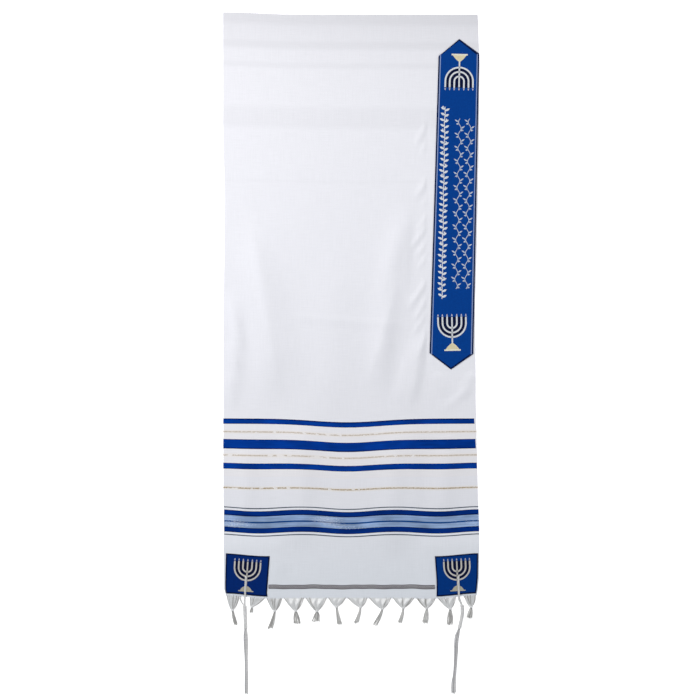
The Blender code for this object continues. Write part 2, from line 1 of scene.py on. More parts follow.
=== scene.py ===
# %% [markdown]
# # A tallit, folded once and laid flat
#
# A tallit is a prayer shawl: one length of light woven cloth with blue bands at both ends, a ribbon
# where it lies on the neck, a square patch with an eyelet at each corner, a knotted fringe along
# each end and strings, the tzitzit, through the four eyelets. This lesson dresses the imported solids
# with cloth, thread and yarn. Every piece is made where the solid lies, in metres.

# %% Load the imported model, the fixed frame for everything below
import math
import random
from collections import namedtuple

import bmesh
import bpy
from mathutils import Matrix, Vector


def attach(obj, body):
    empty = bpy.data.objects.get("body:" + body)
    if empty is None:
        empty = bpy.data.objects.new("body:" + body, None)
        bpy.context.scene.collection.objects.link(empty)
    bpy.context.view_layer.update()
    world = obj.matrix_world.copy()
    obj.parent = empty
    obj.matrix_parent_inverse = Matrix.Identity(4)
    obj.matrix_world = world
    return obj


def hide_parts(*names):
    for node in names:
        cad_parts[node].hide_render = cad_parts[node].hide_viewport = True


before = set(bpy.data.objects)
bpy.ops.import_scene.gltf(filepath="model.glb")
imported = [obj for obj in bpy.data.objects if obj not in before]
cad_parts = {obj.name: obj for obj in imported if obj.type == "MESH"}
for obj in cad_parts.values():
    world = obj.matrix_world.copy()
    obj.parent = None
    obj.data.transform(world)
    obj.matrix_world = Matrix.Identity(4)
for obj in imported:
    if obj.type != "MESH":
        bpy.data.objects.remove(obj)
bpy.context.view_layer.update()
bpy.ops.object.select_all(action="DESELECT")
print("nodes:", ", ".join(sorted(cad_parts)))

# %% [markdown]
# ## The camera
#
# The photograph looks straight down on the shawl, or straight at it, with no slant to its sides.
# A long lens from 4.3 m keeps the far and near parts at one scale. The camera comes first, so that
# each piece can be set against the photograph as soon as it is made.

# %% The camera, straight above
CAMERA_PLACE = (-0.00276, 0.00718, 4.295)
scene = bpy.context.scene
lens_data = bpy.data.cameras.new("camera")
lens_data.lens = 100
lens_data.sensor_width = 36
camera = bpy.data.objects.new("camera", lens_data)
camera.location = CAMERA_PLACE
scene.collection.objects.link(camera)
scene.camera = camera
scene.view_settings.view_transform = "Standard"
print("camera height:", camera.location.z)

# %% [markdown]
# ## The lie of the cloth
#
# The cloth isn't a flat rectangle. Its selvedges wander, its cross threads sag between the places
# where it was held, and it lies over the folded-under leaf and its own soft folds. These are the
# same named sizes and tables as in the part's source, so the cloth made here lies on the solid.

# %% The shawl's sizes, in metres
OVERALL_LENGTH = 1.5052
FRONT_LEAF = 1.2943
UNDER_LEAF = 0.3976
HALF_SPREAD = 0.2832
WALL = 0.0012
SEAM_GAP = 0.0003
RIBBON = 0.0010
FOLD_Y = OVERALL_LENGTH / 2
HEM_Y = FOLD_Y - FRONT_LEAF
UNDER_HEM_Y = FOLD_Y - UNDER_LEAF
FOLD_RADIUS = 0.0018
FOLD_ARC = math.pi * FOLD_RADIUS
ROLL_CENTRE_Y = FOLD_Y - FOLD_RADIUS - WALL
ROLL_CENTRE_Z = WALL + FOLD_RADIUS
FRONT_RUN = ROLL_CENTRE_Y - HEM_Y
UNDER_RUN = ROLL_CENTRE_Y - UNDER_HEM_Y
CLOTH_LENGTH = FRONT_RUN + FOLD_ARC + UNDER_RUN
UNDER_INSET = 0.003
CORNER_LIFT = 0.0022
STRIP_WIDTH = 0.0045
STRIP_TOP = STRIP_WIDTH + SEAM_GAP
PIXEL = 0.0022087
print("cloth length:", round(CLOTH_LENGTH, 4))


def across_at(px):
    """X of a place that the photograph shows px pixels from its left side."""
    return (px - 351.25) * PIXEL


def up_at(py):
    """Height above the hem of a place py pixels below the photograph's top."""
    return (598.5 - py) * PIXEL


# %% The tables that the cloth follows
EdgeRow = namedtuple("EdgeRow", "up left right")
EDGE_ROWS = (
    EdgeRow(0.000, -0.2770, 0.2772),
    EdgeRow(0.014, -0.2808, 0.2798),
    EdgeRow(0.040, -0.2812, 0.2822),
    EdgeRow(0.110, -0.2818, 0.2832),
    EdgeRow(0.151, -0.2822, 0.2826),
    EdgeRow(0.218, -0.2826, 0.2802),
    EdgeRow(0.328, -0.2828, 0.2778),
    EdgeRow(0.438, -0.2828, 0.2752),
    EdgeRow(0.659, -0.2820, 0.2742),
    EdgeRow(0.770, -0.2802, 0.2777),
    EdgeRow(0.880, -0.2790, 0.2800),
    EdgeRow(1.035, -0.2832, 0.2828),
    EdgeRow(1.189, -0.2832, 0.2832),
    EdgeRow(1.294, -0.2830, 0.2790),
)
SAG_MIDDLE_U = -0.01
SAG_HALF_WIDTH_U = 0.19
LOBE_MIDDLE_U = -0.013
LOBE_PERIOD_U = 0.350
SagRow = namedtuple("SagRow", "up centre lobes edges fold")
SAG_ROWS = (
    SagRow(0.000, 0.0000, 0.0000, 0.0070, 0.0000),
    SagRow(0.095, 0.0005, 0.0008, 0.0050, 0.0000),
    SagRow(0.140, 0.0012, 0.0023, 0.0006, 0.0000),
    SagRow(0.200, 0.0018, 0.0023, 0.0000, 0.0000),
    SagRow(0.245, 0.0035, 0.0012, 0.0000, 0.0000),
    SagRow(0.350, 0.0075, 0.0006, 0.0000, 0.0000),
    SagRow(0.392, 0.0085, 0.0000, 0.0000, 0.0000),
    SagRow(0.900, 0.0020, 0.0000, 0.0000, 0.0010),
    SagRow(1.294, 0.0000, 0.0000, 0.0000, 0.0050),
)
LiftRow = namedtuple("LiftRow", "up height")
LIFT_ROWS = (
    LiftRow(0.000, 0.0000),
    LiftRow(0.440, 0.0000),
    LiftRow(0.690, 0.0028),
    LiftRow(0.820, 0.0034),
    LiftRow(1.020, 0.0034),
    LiftRow(1.100, 0.0027),
    LiftRow(1.220, 0.0030),
    LiftRow(1.291, 0.0048),
)
UNDER_LIFT_ROWS = (
    LiftRow(STRIP_TOP, 0.0013),
    LiftRow(0.048, 0.0013),
    LiftRow(0.097, 0.0013),
    LiftRow(0.145, 0.0000),
    LiftRow(0.230, 0.0000),
    LiftRow(0.320, 0.0000),
)
FoldRow = namedtuple("FoldRow", "name low_x low_up high_x high_up bow half_width height")
FOLD_ROWS = (
    FoldRow("left swag", -0.176, 0.400, -0.238, 0.860, 0.012, 0.030, 0.0068),
    FoldRow("right swag", 0.066, 0.430, 0.126, 0.885, -0.020, 0.024, 0.0066),
    FoldRow("hip fold", 0.128, 0.400, 0.166, 0.600, -0.012, 0.017, 0.0044),
    FoldRow("left side roll", -0.262, 0.420, -0.258, 0.700, 0.006, 0.018, 0.0042),
    FoldRow("middle swell", -0.060, 0.360, -0.040, 0.780, 0.010, 0.045, 0.0034),
    FoldRow("left flute", -0.118, 0.090, -0.112, 0.420, 0.004, 0.030, 0.0052),
    FoldRow("right flute", 0.092, 0.080, 0.100, 0.400, -0.004, 0.030, 0.0052),
    FoldRow("left stripe swell", -0.232, 0.150, -0.240, 0.360, 0.004, 0.022, 0.0034),
    FoldRow("right stripe swell", 0.205, 0.150, 0.220, 0.380, -0.006, 0.024, 0.0036),
    FoldRow("low drag line", -0.130, 0.060, -0.262, 0.130, -0.004, 0.014, 0.0020),
)
print("soft folds:", len(FOLD_ROWS))


# %% The way from a thread of the cloth to its place
def ease(start, end, value):
    """0 before start, 1 past end, and a smooth step between; start may lie above end."""
    share = min(1.0, max(0.0, (value - start) / (end - start)))
    return share * share * (3 - 2 * share)


def read(rows, key, column, at):
    """One column of a table, read in straight lines between its rows."""
    below = rows[0]
    for above in rows[1:]:
        if at <= getattr(above, key):
            span = getattr(above, key) - getattr(below, key)
            share = min(1.0, max(0.0, (at - getattr(below, key)) / span))
            low, high = getattr(below, column), getattr(above, column)
            return low + (high - low) * share
        below = above
    return getattr(rows[-1], column)


def side_x(u, up, inset=0.0):
    """X of the cloth's thread u, from -0.5 at the left selvedge to 0.5 at the right one."""
    left = read(EDGE_ROWS, "up", "left", up) + inset
    right = read(EDGE_ROWS, "up", "right", up) - inset
    return left + (right - left) * (u + 0.5)


def wander(u, up):
    """How far a cross thread is drawn out of straight along Y."""
    bell = math.exp(-(((u - SAG_MIDDLE_U) / SAG_HALF_WIDTH_U) ** 2))
    wave = math.cos(2 * math.pi * (u - LOBE_MIDDLE_U) / LOBE_PERIOD_U)
    centre = read(SAG_ROWS, "up", "centre", up) * bell
    lobes = read(SAG_ROWS, "up", "lobes", up) * wave
    edges = read(SAG_ROWS, "up", "edges", up) * ease(0.33, 0.5, abs(u))
    fold = read(SAG_ROWS, "up", "fold", up) * ease(-0.5, -0.2, u)
    return edges - centre - lobes - fold


def corner_share(x, up):
    """1 on the two stiff corners that the tzitzit lift, 0 away from them."""
    return ease(0.135, 0.172, abs(x)) * ease(0.150, 0.110, up)


def band_share(x, up):
    """1 where the sewn neckband keeps the cloth flat, 0 away from it."""
    return ease(0.140, 0.168, x) * ease(0.465, 0.500, up)


def fold_height(row, x, up):
    """Height of one soft fold at a place on the front leaf."""
    along_x, along_up = row.high_x - row.low_x, row.high_up - row.low_up
    length = math.hypot(along_x, along_up)
    share = ((x - row.low_x) * along_x + (up - row.low_up) * along_up) / length**2
    if not 0 < share < 1:
        return 0.0
    aside = ((x - row.low_x) * along_up - (up - row.low_up) * along_x) / length
    aside -= row.bow * 4 * share * (1 - share)
    ends = ease(0, 0.3, share) * ease(1, 0.7, share)
    return row.height * ends * math.exp(-((aside / row.half_width) ** 2))


def front_under_z(x, y):
    """Height of the front leaf's underside, as in the solid."""
    up = y - HEM_Y
    corner = corner_share(x, up)
    folds = sum(fold_height(row, x, up) for row in FOLD_ROWS)
    folds *= (1 - corner) * (1 - band_share(x, up))
    return read(LIFT_ROWS, "up", "height", up) + CORNER_LIFT * corner + folds


def under_point(u, back):
    """A point of the under leaf's upper face, back from the roll towards its own hem."""
    y = ROLL_CENTRE_Y - back + wander(u, FRONT_LEAF) * (1 - min(1.0, back / UNDER_RUN))
    inset = UNDER_INSET * ease(0.0, 0.06, back)
    z = WALL + read(UNDER_LIFT_ROWS, "up", "height", y - UNDER_HEM_Y)
    return Vector((side_x(u, y - HEM_Y, inset), y, z))


print("height at the middle of the fold:", round(front_under_z(0.0, 0.7), 4))

# %% [markdown]
# ## Fine creases
#
# The solid carries the broad folds. The finer ones belong here: short drags beside the stiff
# ribbon, a few soft pleats over the bands, and the sharp sides of two hollows. Each is a ridge
# along a line with its own width on either side, so one side can be steep and the other soft.
# Heights only add to the solid's, so the cloth never sinks into the leaf under it.

# %% The creases, by their ends in the photograph's pixels
CreaseRow = namedtuple("CreaseRow", "px_a py_a px_b py_b left right height")
CREASE_ROWS = (
    CreaseRow(249, 205, 284, 410, 0.012, 0.050, 0.0040),
    CreaseRow(262, 250, 300, 395, 0.020, 0.030, 0.0018),
    CreaseRow(408, 200, 404, 300, 0.040, 0.012, 0.0026),
    CreaseRow(404, 262, 368, 392, 0.012, 0.034, 0.0036),
    CreaseRow(426, 330, 412, 404, 0.010, 0.012, 0.0026),
    CreaseRow(408, 350, 396, 410, 0.010, 0.012, 0.0018),
    CreaseRow(437, 108, 412, 150, 0.006, 0.008, 0.0026),
    CreaseRow(437, 128, 418, 158, 0.005, 0.006, 0.0016),
    CreaseRow(436, 168, 412, 202, 0.006, 0.008, 0.0028),
    CreaseRow(436, 186, 420, 210, 0.004, 0.006, 0.0014),
    CreaseRow(435, 204, 414, 236, 0.005, 0.006, 0.0020),
    CreaseRow(434, 216, 408, 252, 0.005, 0.006, 0.0026),
    CreaseRow(434, 232, 414, 260, 0.004, 0.006, 0.0018),
    CreaseRow(433, 246, 416, 272, 0.004, 0.006, 0.0016),
    CreaseRow(432, 272, 406, 312, 0.005, 0.007, 0.0026),
    CreaseRow(432, 290, 412, 324, 0.005, 0.006, 0.0020),
    CreaseRow(431, 306, 410, 338, 0.004, 0.006, 0.0016),
    CreaseRow(430, 320, 416, 362, 0.005, 0.006, 0.0022),
    CreaseRow(432, 358, 446, 398, 0.014, 0.012, 0.0018),
    CreaseRow(476, 360, 460, 402, 0.010, 0.012, 0.0026),
    CreaseRow(474, 384, 440, 412, 0.006, 0.010, 0.0016),
    CreaseRow(224, 290, 246, 356, 0.010, 0.012, 0.0030),
    CreaseRow(224, 340, 240, 372, 0.008, 0.010, 0.0022),
    CreaseRow(225, 372, 236, 412, 0.008, 0.012, 0.0022),
    CreaseRow(270, 315, 428, 327, 0.010, 0.008, 0.0010),
    CreaseRow(477, 14, 466, 44, 0.005, 0.006, 0.0022),
    CreaseRow(228, 548, 262, 567, 0.006, 0.008, 0.0010),
    CreaseRow(286, 400, 282, 545, 0.014, 0.018, 0.0016),
    CreaseRow(412, 400, 416, 545, 0.018, 0.014, 0.0016),
)


def crease_height(row, x, up):
    """Height of one crease, with its own width on either side of its line."""
    start_x, start_up = across_at(row.px_a), up_at(row.py_a)
    run_x, run_up = across_at(row.px_b) - start_x, up_at(row.py_b) - start_up
    length = math.hypot(run_x, run_up)
    share = ((x - start_x) * run_x + (up - start_up) * run_up) / length**2
    if not 0 < share < 1:
        return 0.0
    aside = ((x - start_x) * run_up - (up - start_up) * run_x) / length
    width = row.left if aside > 0 else row.right
    ends = ease(0, 0.35, share) * ease(1, 0.65, share)
    return row.height * ends * math.exp(-((aside / width) ** 2))


def dressed_under_z(x, y):
    """Height of the front leaf's underside with its fine creases."""
    up = y - HEM_Y
    calm = (1 - corner_share(x, up)) * (1 - ease(0.160, 0.168, x) * ease(0.488, 0.503, up))
    fine = sum(crease_height(row, x, up) for row in CREASE_ROWS)
    return front_under_z(x, y) + fine * calm


def cloth_point(u, along):
    """A point of the cloth's inner face, from the front hem over the fold to the under hem."""
    if along <= FRONT_RUN:
        y = HEM_Y + along + wander(u, along)
        x = side_x(u, along)
        return Vector((x, y, dressed_under_z(x, y)))
    if along <= FRONT_RUN + FOLD_ARC:
        turn = (along - FRONT_RUN) / FOLD_RADIUS
        y = ROLL_CENTRE_Y + wander(u, FRONT_LEAF) + FOLD_RADIUS * math.sin(turn)
        z = ROLL_CENTRE_Z + FOLD_RADIUS * math.cos(turn)
        return Vector((side_x(u, FRONT_LEAF), y, z))
    return under_point(u, along - FRONT_RUN - FOLD_ARC)


print("fine creases:", len(CREASE_ROWS))

# %% [markdown]
# ## Weaving and stitching in mesh code
#
# Cloth and thread are made from lists of points, because their shape is a rule and not a block
# that is cut. A woven grid keeps a second pair of coordinates for each point, its place on the
# cloth before it was laid, in metres. Stripes and weave read those, so they follow every fold.


# %% Helpers that make a woven grid and give it a wall
def finish_mesh(name, points, faces, corners):
    """A new piece from points, faces and the cloth coordinates of each face's corners."""
    mesh = bpy.data.meshes.new(name)
    mesh.from_pydata(points, [], faces)
    layer = mesh.uv_layers.new(name="cloth")
    flat = [value for face in corners for pair in face for value in pair]
    layer.data.foreach_set("uv", flat)
    piece = bpy.data.objects.new(name, mesh)
    scene.collection.objects.link(piece)
    return piece


def woven_grid(name, across, along, place, lay):
    """A grid of cloth: place gives each point in space, lay its coordinates on the flat cloth."""
    points = [place(a, b) for b in along for a in across]
    flats = [lay(a, b) for b in along for a in across]
    wide = len(across)
    faces = []
    for j in range(len(along) - 1):
        for i in range(wide - 1):
            low = j * wide + i
            faces.append((low, low + 1, low + 1 + wide, low + wide))
    corners = [[flats[k] for k in face] for face in faces]
    return finish_mesh(name, points, faces, corners)


def apply_all(piece):
    """Applies the modifiers of one piece in order."""
    bpy.ops.object.select_all(action="DESELECT")
    piece.select_set(True)
    bpy.context.view_layer.objects.active = piece
    for modifier in list(piece.modifiers):
        bpy.ops.object.modifier_apply(modifier=modifier.name)


def give_wall(piece, thickness):
    """Thickens an open sheet on its outer side, and smooths it but for its cut edges."""
    wall = piece.modifiers.new("wall", "SOLIDIFY")
    wall.thickness = thickness
    wall.offset = 1.0
    apply_all(piece)
    bpy.ops.object.shade_smooth_by_angle(angle=math.radians(50))


def steps(start, end, count):
    """Evenly spaced stops from start to end."""
    return [start + (end - start) * i / count for i in range(count + 1)]


# %% [markdown]
# ## Node helpers
#
# A material here is a small network. These helpers add one node and wire it in one line, so that
# the cells below read as a list of what the thread and the dye do.


# %% Helpers for building node trees
def plug(tree, value, socket):
    """Wires a socket, or sets it where the value is a plain number or colour."""
    if isinstance(value, bpy.types.NodeSocket):
        tree.links.new(value, socket)
    elif isinstance(value, tuple) and len(value) == 3 and socket.type == "RGBA":
        socket.default_value = (*value, 1.0)
    else:
        socket.default_value = value


def reckon(tree, operation, first, second=None, third=None, clamp=False):
    """A Math node's result."""
    node = tree.nodes.new("ShaderNodeMath")
    node.operation = operation
    node.use_clamp = clamp
    for value, socket in zip((first, second, third), node.inputs):
        if value is not None:
            plug(tree, value, socket)
    return node.outputs[0]


def blend_colour(tree, share, first, second, mode="MIX"):
    """Two colours mixed by a share."""
    node = tree.nodes.new("ShaderNodeMix")
    node.data_type = "RGBA"
    node.blend_type = mode
    for value, name in ((share, 0), (first, 6), (second, 7)):
        plug(tree, value, node.inputs[name])
    return node.outputs[2]


def noise_of(tree, place, scale, detail=2.0, roughness=0.5):
    """A Noise Texture's value at a place."""
    node = tree.nodes.new("ShaderNodeTexNoise")
    node.inputs["Scale"].default_value = scale
    node.inputs["Detail"].default_value = detail
    node.inputs["Roughness"].default_value = roughness
    plug(tree, place, node.inputs["Vector"])
    return node.outputs["Fac"]


def stretched(tree, place, scale):
    """A place stretched by a factor on each axis."""
    node = tree.nodes.new("ShaderNodeMapping")
    node.inputs["Scale"].default_value = scale
    plug(tree, place, node.inputs["Vector"])
    return node.outputs["Vector"]


def axes_of(tree, place):
    """The three parts of a place."""
    node = tree.nodes.new("ShaderNodeSeparateXYZ")
    plug(tree, place, node.inputs[0])
    return node.outputs


def ramp_of(tree, value, stops, interpolation="LINEAR"):
    """A Color Ramp over a value, from (position, colour) stops."""
    node = tree.nodes.new("ShaderNodeValToRGB")
    node.color_ramp.interpolation = interpolation
    elements = node.color_ramp.elements
    while len(elements) < len(stops):
        elements.new(1.0)
    for element, (position, colour) in zip(elements, stops):
        element.position = position
        element.color = (*colour, 1.0)
    plug(tree, value, node.inputs[0])
    return node.outputs[0]


def cloth_place(tree):
    """The piece's own cloth coordinates."""
    node = tree.nodes.new("ShaderNodeUVMap")
    node.uv_map = "cloth"
    return node.outputs[0]


def new_group(name, inputs, outputs):
    """A shader node group with named sockets; returns it with its ends."""
    group = bpy.data.node_groups.new(name, "ShaderNodeTree")
    for label, kind in inputs:
        group.interface.new_socket(label, in_out="INPUT", socket_type="NodeSocket" + kind)
    for label, kind in outputs:
        group.interface.new_socket(label, in_out="OUTPUT", socket_type="NodeSocket" + kind)
    enter = group.nodes.new("NodeGroupInput")
    leave = group.nodes.new("NodeGroupOutput")
    return group, enter.outputs, leave.inputs


def use_group(tree, group, **values):
    """Places a group in a material with its own values; returns its outputs."""
    node = tree.nodes.new("ShaderNodeGroup")
    node.node_tree = group
    for label, value in values.items():
        plug(tree, value, node.inputs[label])
    return node.outputs


def new_finish(name, roughness, sheen=0.0, metallic=0.0, specular=0.5):
    """An empty cloth or thread material; returns it, its tree and its shader."""
    finish = bpy.data.materials.new(name)
    finish.use_nodes = True
    tree = finish.node_tree
    shader = tree.nodes["Principled BSDF"]
    shader.inputs["Roughness"].default_value = roughness
    shader.inputs["Sheen Weight"].default_value = sheen
    shader.inputs["Metallic"].default_value = metallic
    shader.inputs["Specular IOR Level"].default_value = specular
    return finish, tree, shader


def add_bump(tree, shader, height, strength, distance):
    """Raises the surface's shading by a height."""
    node = tree.nodes.new("ShaderNodeBump")
    node.inputs["Strength"].default_value = strength
    node.inputs["Distance"].default_value = distance
    plug(tree, height, node.inputs["Height"])
    tree.links.new(node.outputs["Normal"], shader.inputs["Normal"])


def thread(red, green, blue):
    """A dye's colour from its screen values, as the shader wants it."""

    def linear(value):
        value /= 255
        return value / 12.92 if value <= 0.04045 else ((value + 0.055) / 1.055) ** 2.4

    return (linear(red), linear(green), linear(blue))


print("white thread:", [round(value, 3) for value in thread(236, 235, 241)])

# %% [markdown]
# ## Weave and thread, once for every finish
#
# All the pieces are textile, so two effects come back everywhere: crossing threads of uneven
# thickness, and the slanted plies of a twisted yarn or the close lines of satin stitches. Each is
# a node group with named inputs, built once and placed in each material with its own pitch.

# %% The weave: crossing threads and slubs
weave, w_in, w_out = new_group(
    "crossing_threads",
    [("Cloth", "Vector"), ("Pitch", "Float")],
    [("Height", "Float"), ("Shade", "Float")],
)
parts = axes_of(weave, w_in["Cloth"])
waves = []
for part in (parts[0], parts[1]):
    turns = reckon(weave, "DIVIDE", part, w_in["Pitch"])
    waves.append(reckon(weave, "SINE", reckon(weave, "MULTIPLY", turns, math.pi)))
checker = reckon(weave, "MULTIPLY", waves[0], waves[1])
weft_slub = noise_of(weave, stretched(weave, w_in["Cloth"], (26.0, 620.0, 1.0)), 1.0, 3.0, 0.6)
warp_slub = noise_of(weave, stretched(weave, w_in["Cloth"], (560.0, 22.0, 1.0)), 1.0, 3.0, 0.6)
slubs = reckon(weave, "ADD", weft_slub, warp_slub)
plug(weave, reckon(weave, "MULTIPLY_ADD", checker, 0.35, slubs), w_out["Height"])
plug(weave, slubs, w_out["Shade"])
print("weave group nodes:", len(weave.nodes))

# %% The stitch: close parallel threads across a line
stitch, s_in, s_out = new_group(
    "close_stitches",
    [("Cloth", "Vector"), ("Pitch", "Float"), ("Slant", "Float")],
    [("Height", "Float"), ("Shade", "Float")],
)
parts = axes_of(stitch, s_in["Cloth"])
along_line = reckon(stitch, "MULTIPLY_ADD", parts[0], s_in["Slant"], parts[1])
turns = reckon(stitch, "DIVIDE", along_line, s_in["Pitch"])
rib = reckon(stitch, "ABSOLUTE", reckon(stitch, "SINE", reckon(stitch, "MULTIPLY", turns, math.pi)))
uneven = noise_of(stitch, stretched(stitch, s_in["Cloth"], (200.0, 700.0, 1.0)), 1.0, 2.0)
plug(stitch, reckon(stitch, "MULTIPLY_ADD", uneven, 0.5, rib), s_out["Height"])
plug(stitch, reckon(stitch, "MULTIPLY", rib, uneven), s_out["Shade"])
print("stitch group nodes:", len(stitch.nodes))

# %% [markdown]
# ## The cloth
#
# One sheet of light cloth runs from the front hem up to the fold, round a soft roll and back
# under. It could be draped by simulation, but the photograph shows where each fold lies, so a
# grid placed by the tables matches it better. Columns are closer where the small creases are.

# %% The cloth's grid and its wall
columns = steps(-0.5, 0.12, 64)[:-1] + steps(0.12, 0.36, 38)[:-1] + steps(0.36, 0.5, 16)
rows = steps(STRIP_TOP, FRONT_RUN, 252)[:-1]
rows += steps(FRONT_RUN, FRONT_RUN + FOLD_ARC, 8)[:-1]
rows += steps(FRONT_RUN + FOLD_ARC, CLOTH_LENGTH - STRIP_TOP, 32)
CLOTH_WIDTH = 2 * HALF_SPREAD


def flat_cloth(u, along):
    return (u * CLOTH_WIDTH, along)


shawl = woven_grid("woven_shawl", columns, rows, cloth_point, flat_cloth)
give_wall(shawl, WALL)
print("shawl faces:", len(shawl.data.polygons))

# %% [markdown]
# ## The cloth's colours
#
# The bands are woven in: blue and grey weft threads between white ones, the same distance from
# each hem. So the material needs only one number, the distance to the nearer hem, and a ramp of
# colours over it. The short leaf under the fold shows through as faint grey stripes, because the
# cloth is thin; a second ramp over the distance from the fold paints that show-through into the
# white, and the darkest grey next to the fold is also painted shade of the fold's roll.

# %% The bands as woven, by distance from the hem
BandRow = namedtuple("BandRow", "middle width colour rim")
NAVY, NAVY_RIM = thread(0, 55, 146), thread(0, 26, 92)
DEEP_NAVY, DEEP_RIM = thread(0, 44, 124), thread(0, 20, 76)
RIM_WIDTH = 0.0016
SKY = thread(145, 168, 206)
THIN_GREY = thread(84, 92, 106)
BAND_ROWS = (
    BandRow(0.1392, 0.0024, THIN_GREY, None),
    BandRow(0.1511, 0.0115, DEEP_NAVY, DEEP_RIM),
    BandRow(0.1623, 0.0108, SKY, None),
    BandRow(0.1693, 0.0033, thread(26, 72, 134), None),
    BandRow(0.1770, 0.0121, SKY, None),
    BandRow(0.1890, 0.0118, DEEP_NAVY, DEEP_RIM),
    BandRow(0.2007, 0.0024, THIN_GREY, None),
    BandRow(0.2922, 0.0131, NAVY, NAVY_RIM),
    BandRow(0.3411, 0.0209, NAVY, NAVY_RIM),
    BandRow(0.3909, 0.0117, NAVY, NAVY_RIM),
)
GOLD_ROWS = (0.2446, 0.3166, 0.3685)
WHITE = thread(240, 239, 245)
RAMP_START, RAMP_END = 0.12, 0.42


def ramp_share(distance):
    return (distance - RAMP_START) / (RAMP_END - RAMP_START)


band_stops = [(0.0, WHITE)]
edge = 0.0
for row in BAND_ROWS:
    start, end = row.middle - row.width / 2, row.middle + row.width / 2
    if start - edge > 0.0005:
        band_stops.append((ramp_share(edge), WHITE))
    if row.rim is None:
        band_stops.append((ramp_share(start), row.colour))
    else:
        band_stops.append((ramp_share(start), row.rim))
        band_stops.append((ramp_share(start + RIM_WIDTH), row.colour))
        band_stops.append((ramp_share(end - RIM_WIDTH), row.rim))
    edge = end
band_stops.append((ramp_share(edge), WHITE))
del band_stops[1]
print("band ramp stops:", len(band_stops))

# %% The white cloth material, first its colours
cloth_finish, tree, shader = new_finish("white_banded_cloth", 0.9, sheen=0.03, specular=0.04)
place = cloth_place(tree)
u_axis, v_axis, _ = axes_of(tree, place)
other_end = reckon(tree, "SUBTRACT", CLOTH_LENGTH, v_axis)
hem_distance = reckon(tree, "MINIMUM", v_axis, other_end)
share = reckon(tree, "SUBTRACT", hem_distance, RAMP_START)
share = reckon(tree, "DIVIDE", share, RAMP_END - RAMP_START)
plain_bands = ramp_of(tree, share, band_stops, "CONSTANT")
# Uneven darkening of the bands: partly uneven dye, partly painted shade of the soft folds.
dye_and_fold_shade = noise_of(tree, stretched(tree, place, (16.0, 260.0, 1.0)), 1.0, 3.0, 0.65)
dye_and_fold_shade = reckon(tree, "MULTIPLY_ADD", dye_and_fold_shade, 1.1, 0.45)
slow_dye_and_fold_shade = noise_of(tree, stretched(tree, place, (20.0, 34.0, 1.0)), 1.0, 1.0)
dye_and_fold_shade = reckon(tree, "MULTIPLY", dye_and_fold_shade, reckon(tree, "MULTIPLY_ADD", slow_dye_and_fold_shade, 0.9, 0.55))
brightness = tree.nodes.new("ShaderNodeRGBToBW")
plug(tree, plain_bands, brightness.inputs[0])
in_band = reckon(tree, "LESS_THAN", brightness.outputs[0], 0.6)
uneven_bands = blend_colour(tree, 1.0, plain_bands, dye_and_fold_shade, "MULTIPLY")
banded = blend_colour(tree, in_band, plain_bands, uneven_bands)
margin = reckon(tree, "MULTIPLY_ADD", hem_distance, 0.033, -0.0085)
right_stop = reckon(tree, "SUBTRACT", CLOTH_WIDTH / 2, margin)
past_stop = reckon(tree, "GREATER_THAN", u_axis, right_stop)
upper_bands = reckon(tree, "GREATER_THAN", hem_distance, 0.27)
dyed = blend_colour(tree, reckon(tree, "MULTIPLY", past_stop, upper_bands), banded, WHITE)
left_gap = reckon(tree, "MULTIPLY_ADD", upper_bands, -0.0018, 0.0018)
before_start = reckon(tree, "LESS_THAN", u_axis, reckon(tree, "ADD", left_gap, -CLOTH_WIDTH / 2))
dyed = blend_colour(tree, before_start, dyed, WHITE)

# %% The metallic threads: thin, and broken by painted glints, white where the metal catches the light
GOLD, GOLD_GLOW, CREAM = thread(166, 142, 104), thread(243, 234, 222), thread(244, 238, 238)
CORE_HALF, GLOW_HALF = 0.00155, 0.0042
CREAM_TOP = 0.392
gold_core, gold_glow = 0.0, 0.0
for middle in GOLD_ROWS:
    off = reckon(tree, "ABSOLUTE", reckon(tree, "SUBTRACT", hem_distance, middle))
    gold_core = reckon(tree, "ADD", gold_core, reckon(tree, "LESS_THAN", off, CORE_HALF))
    gold_glow = reckon(tree, "ADD", gold_glow, reckon(tree, "LESS_THAN", off, GLOW_HALF))
# The breaks are painted glints of the metal thread, more of them towards the left.
glint_gaps = noise_of(tree, stretched(tree, place, (74.0, 150.0, 1.0)), 1.0, 1.0)
towards_left = reckon(tree, "MULTIPLY_ADD", u_axis, -0.22, 0.36)
shown = reckon(tree, "GREATER_THAN", glint_gaps, towards_left)
uneven = noise_of(tree, stretched(tree, place, (340.0, 500.0, 1.0)), 1.0, 2.0)
specks = reckon(tree, "MULTIPLY_ADD", uneven, 3.4, -0.95, clamp=True)
specks = reckon(tree, "MULTIPLY", shown, specks)
dyed = blend_colour(tree, reckon(tree, "MULTIPLY", gold_glow, 0.45), dyed, GOLD_GLOW)
dyed = blend_colour(tree, reckon(tree, "MULTIPLY", gold_core, specks), dyed, GOLD)
below_top_band = reckon(tree, "LESS_THAN", hem_distance, CREAM_TOP)
between_bands = reckon(tree, "MULTIPLY", upper_bands, below_top_band)
cream = reckon(tree, "MULTIPLY", between_bands, reckon(tree, "SUBTRACT", 1.0, in_band))
dyed = blend_colour(tree, reckon(tree, "MULTIPLY", cream, 0.35), dyed, CREAM)

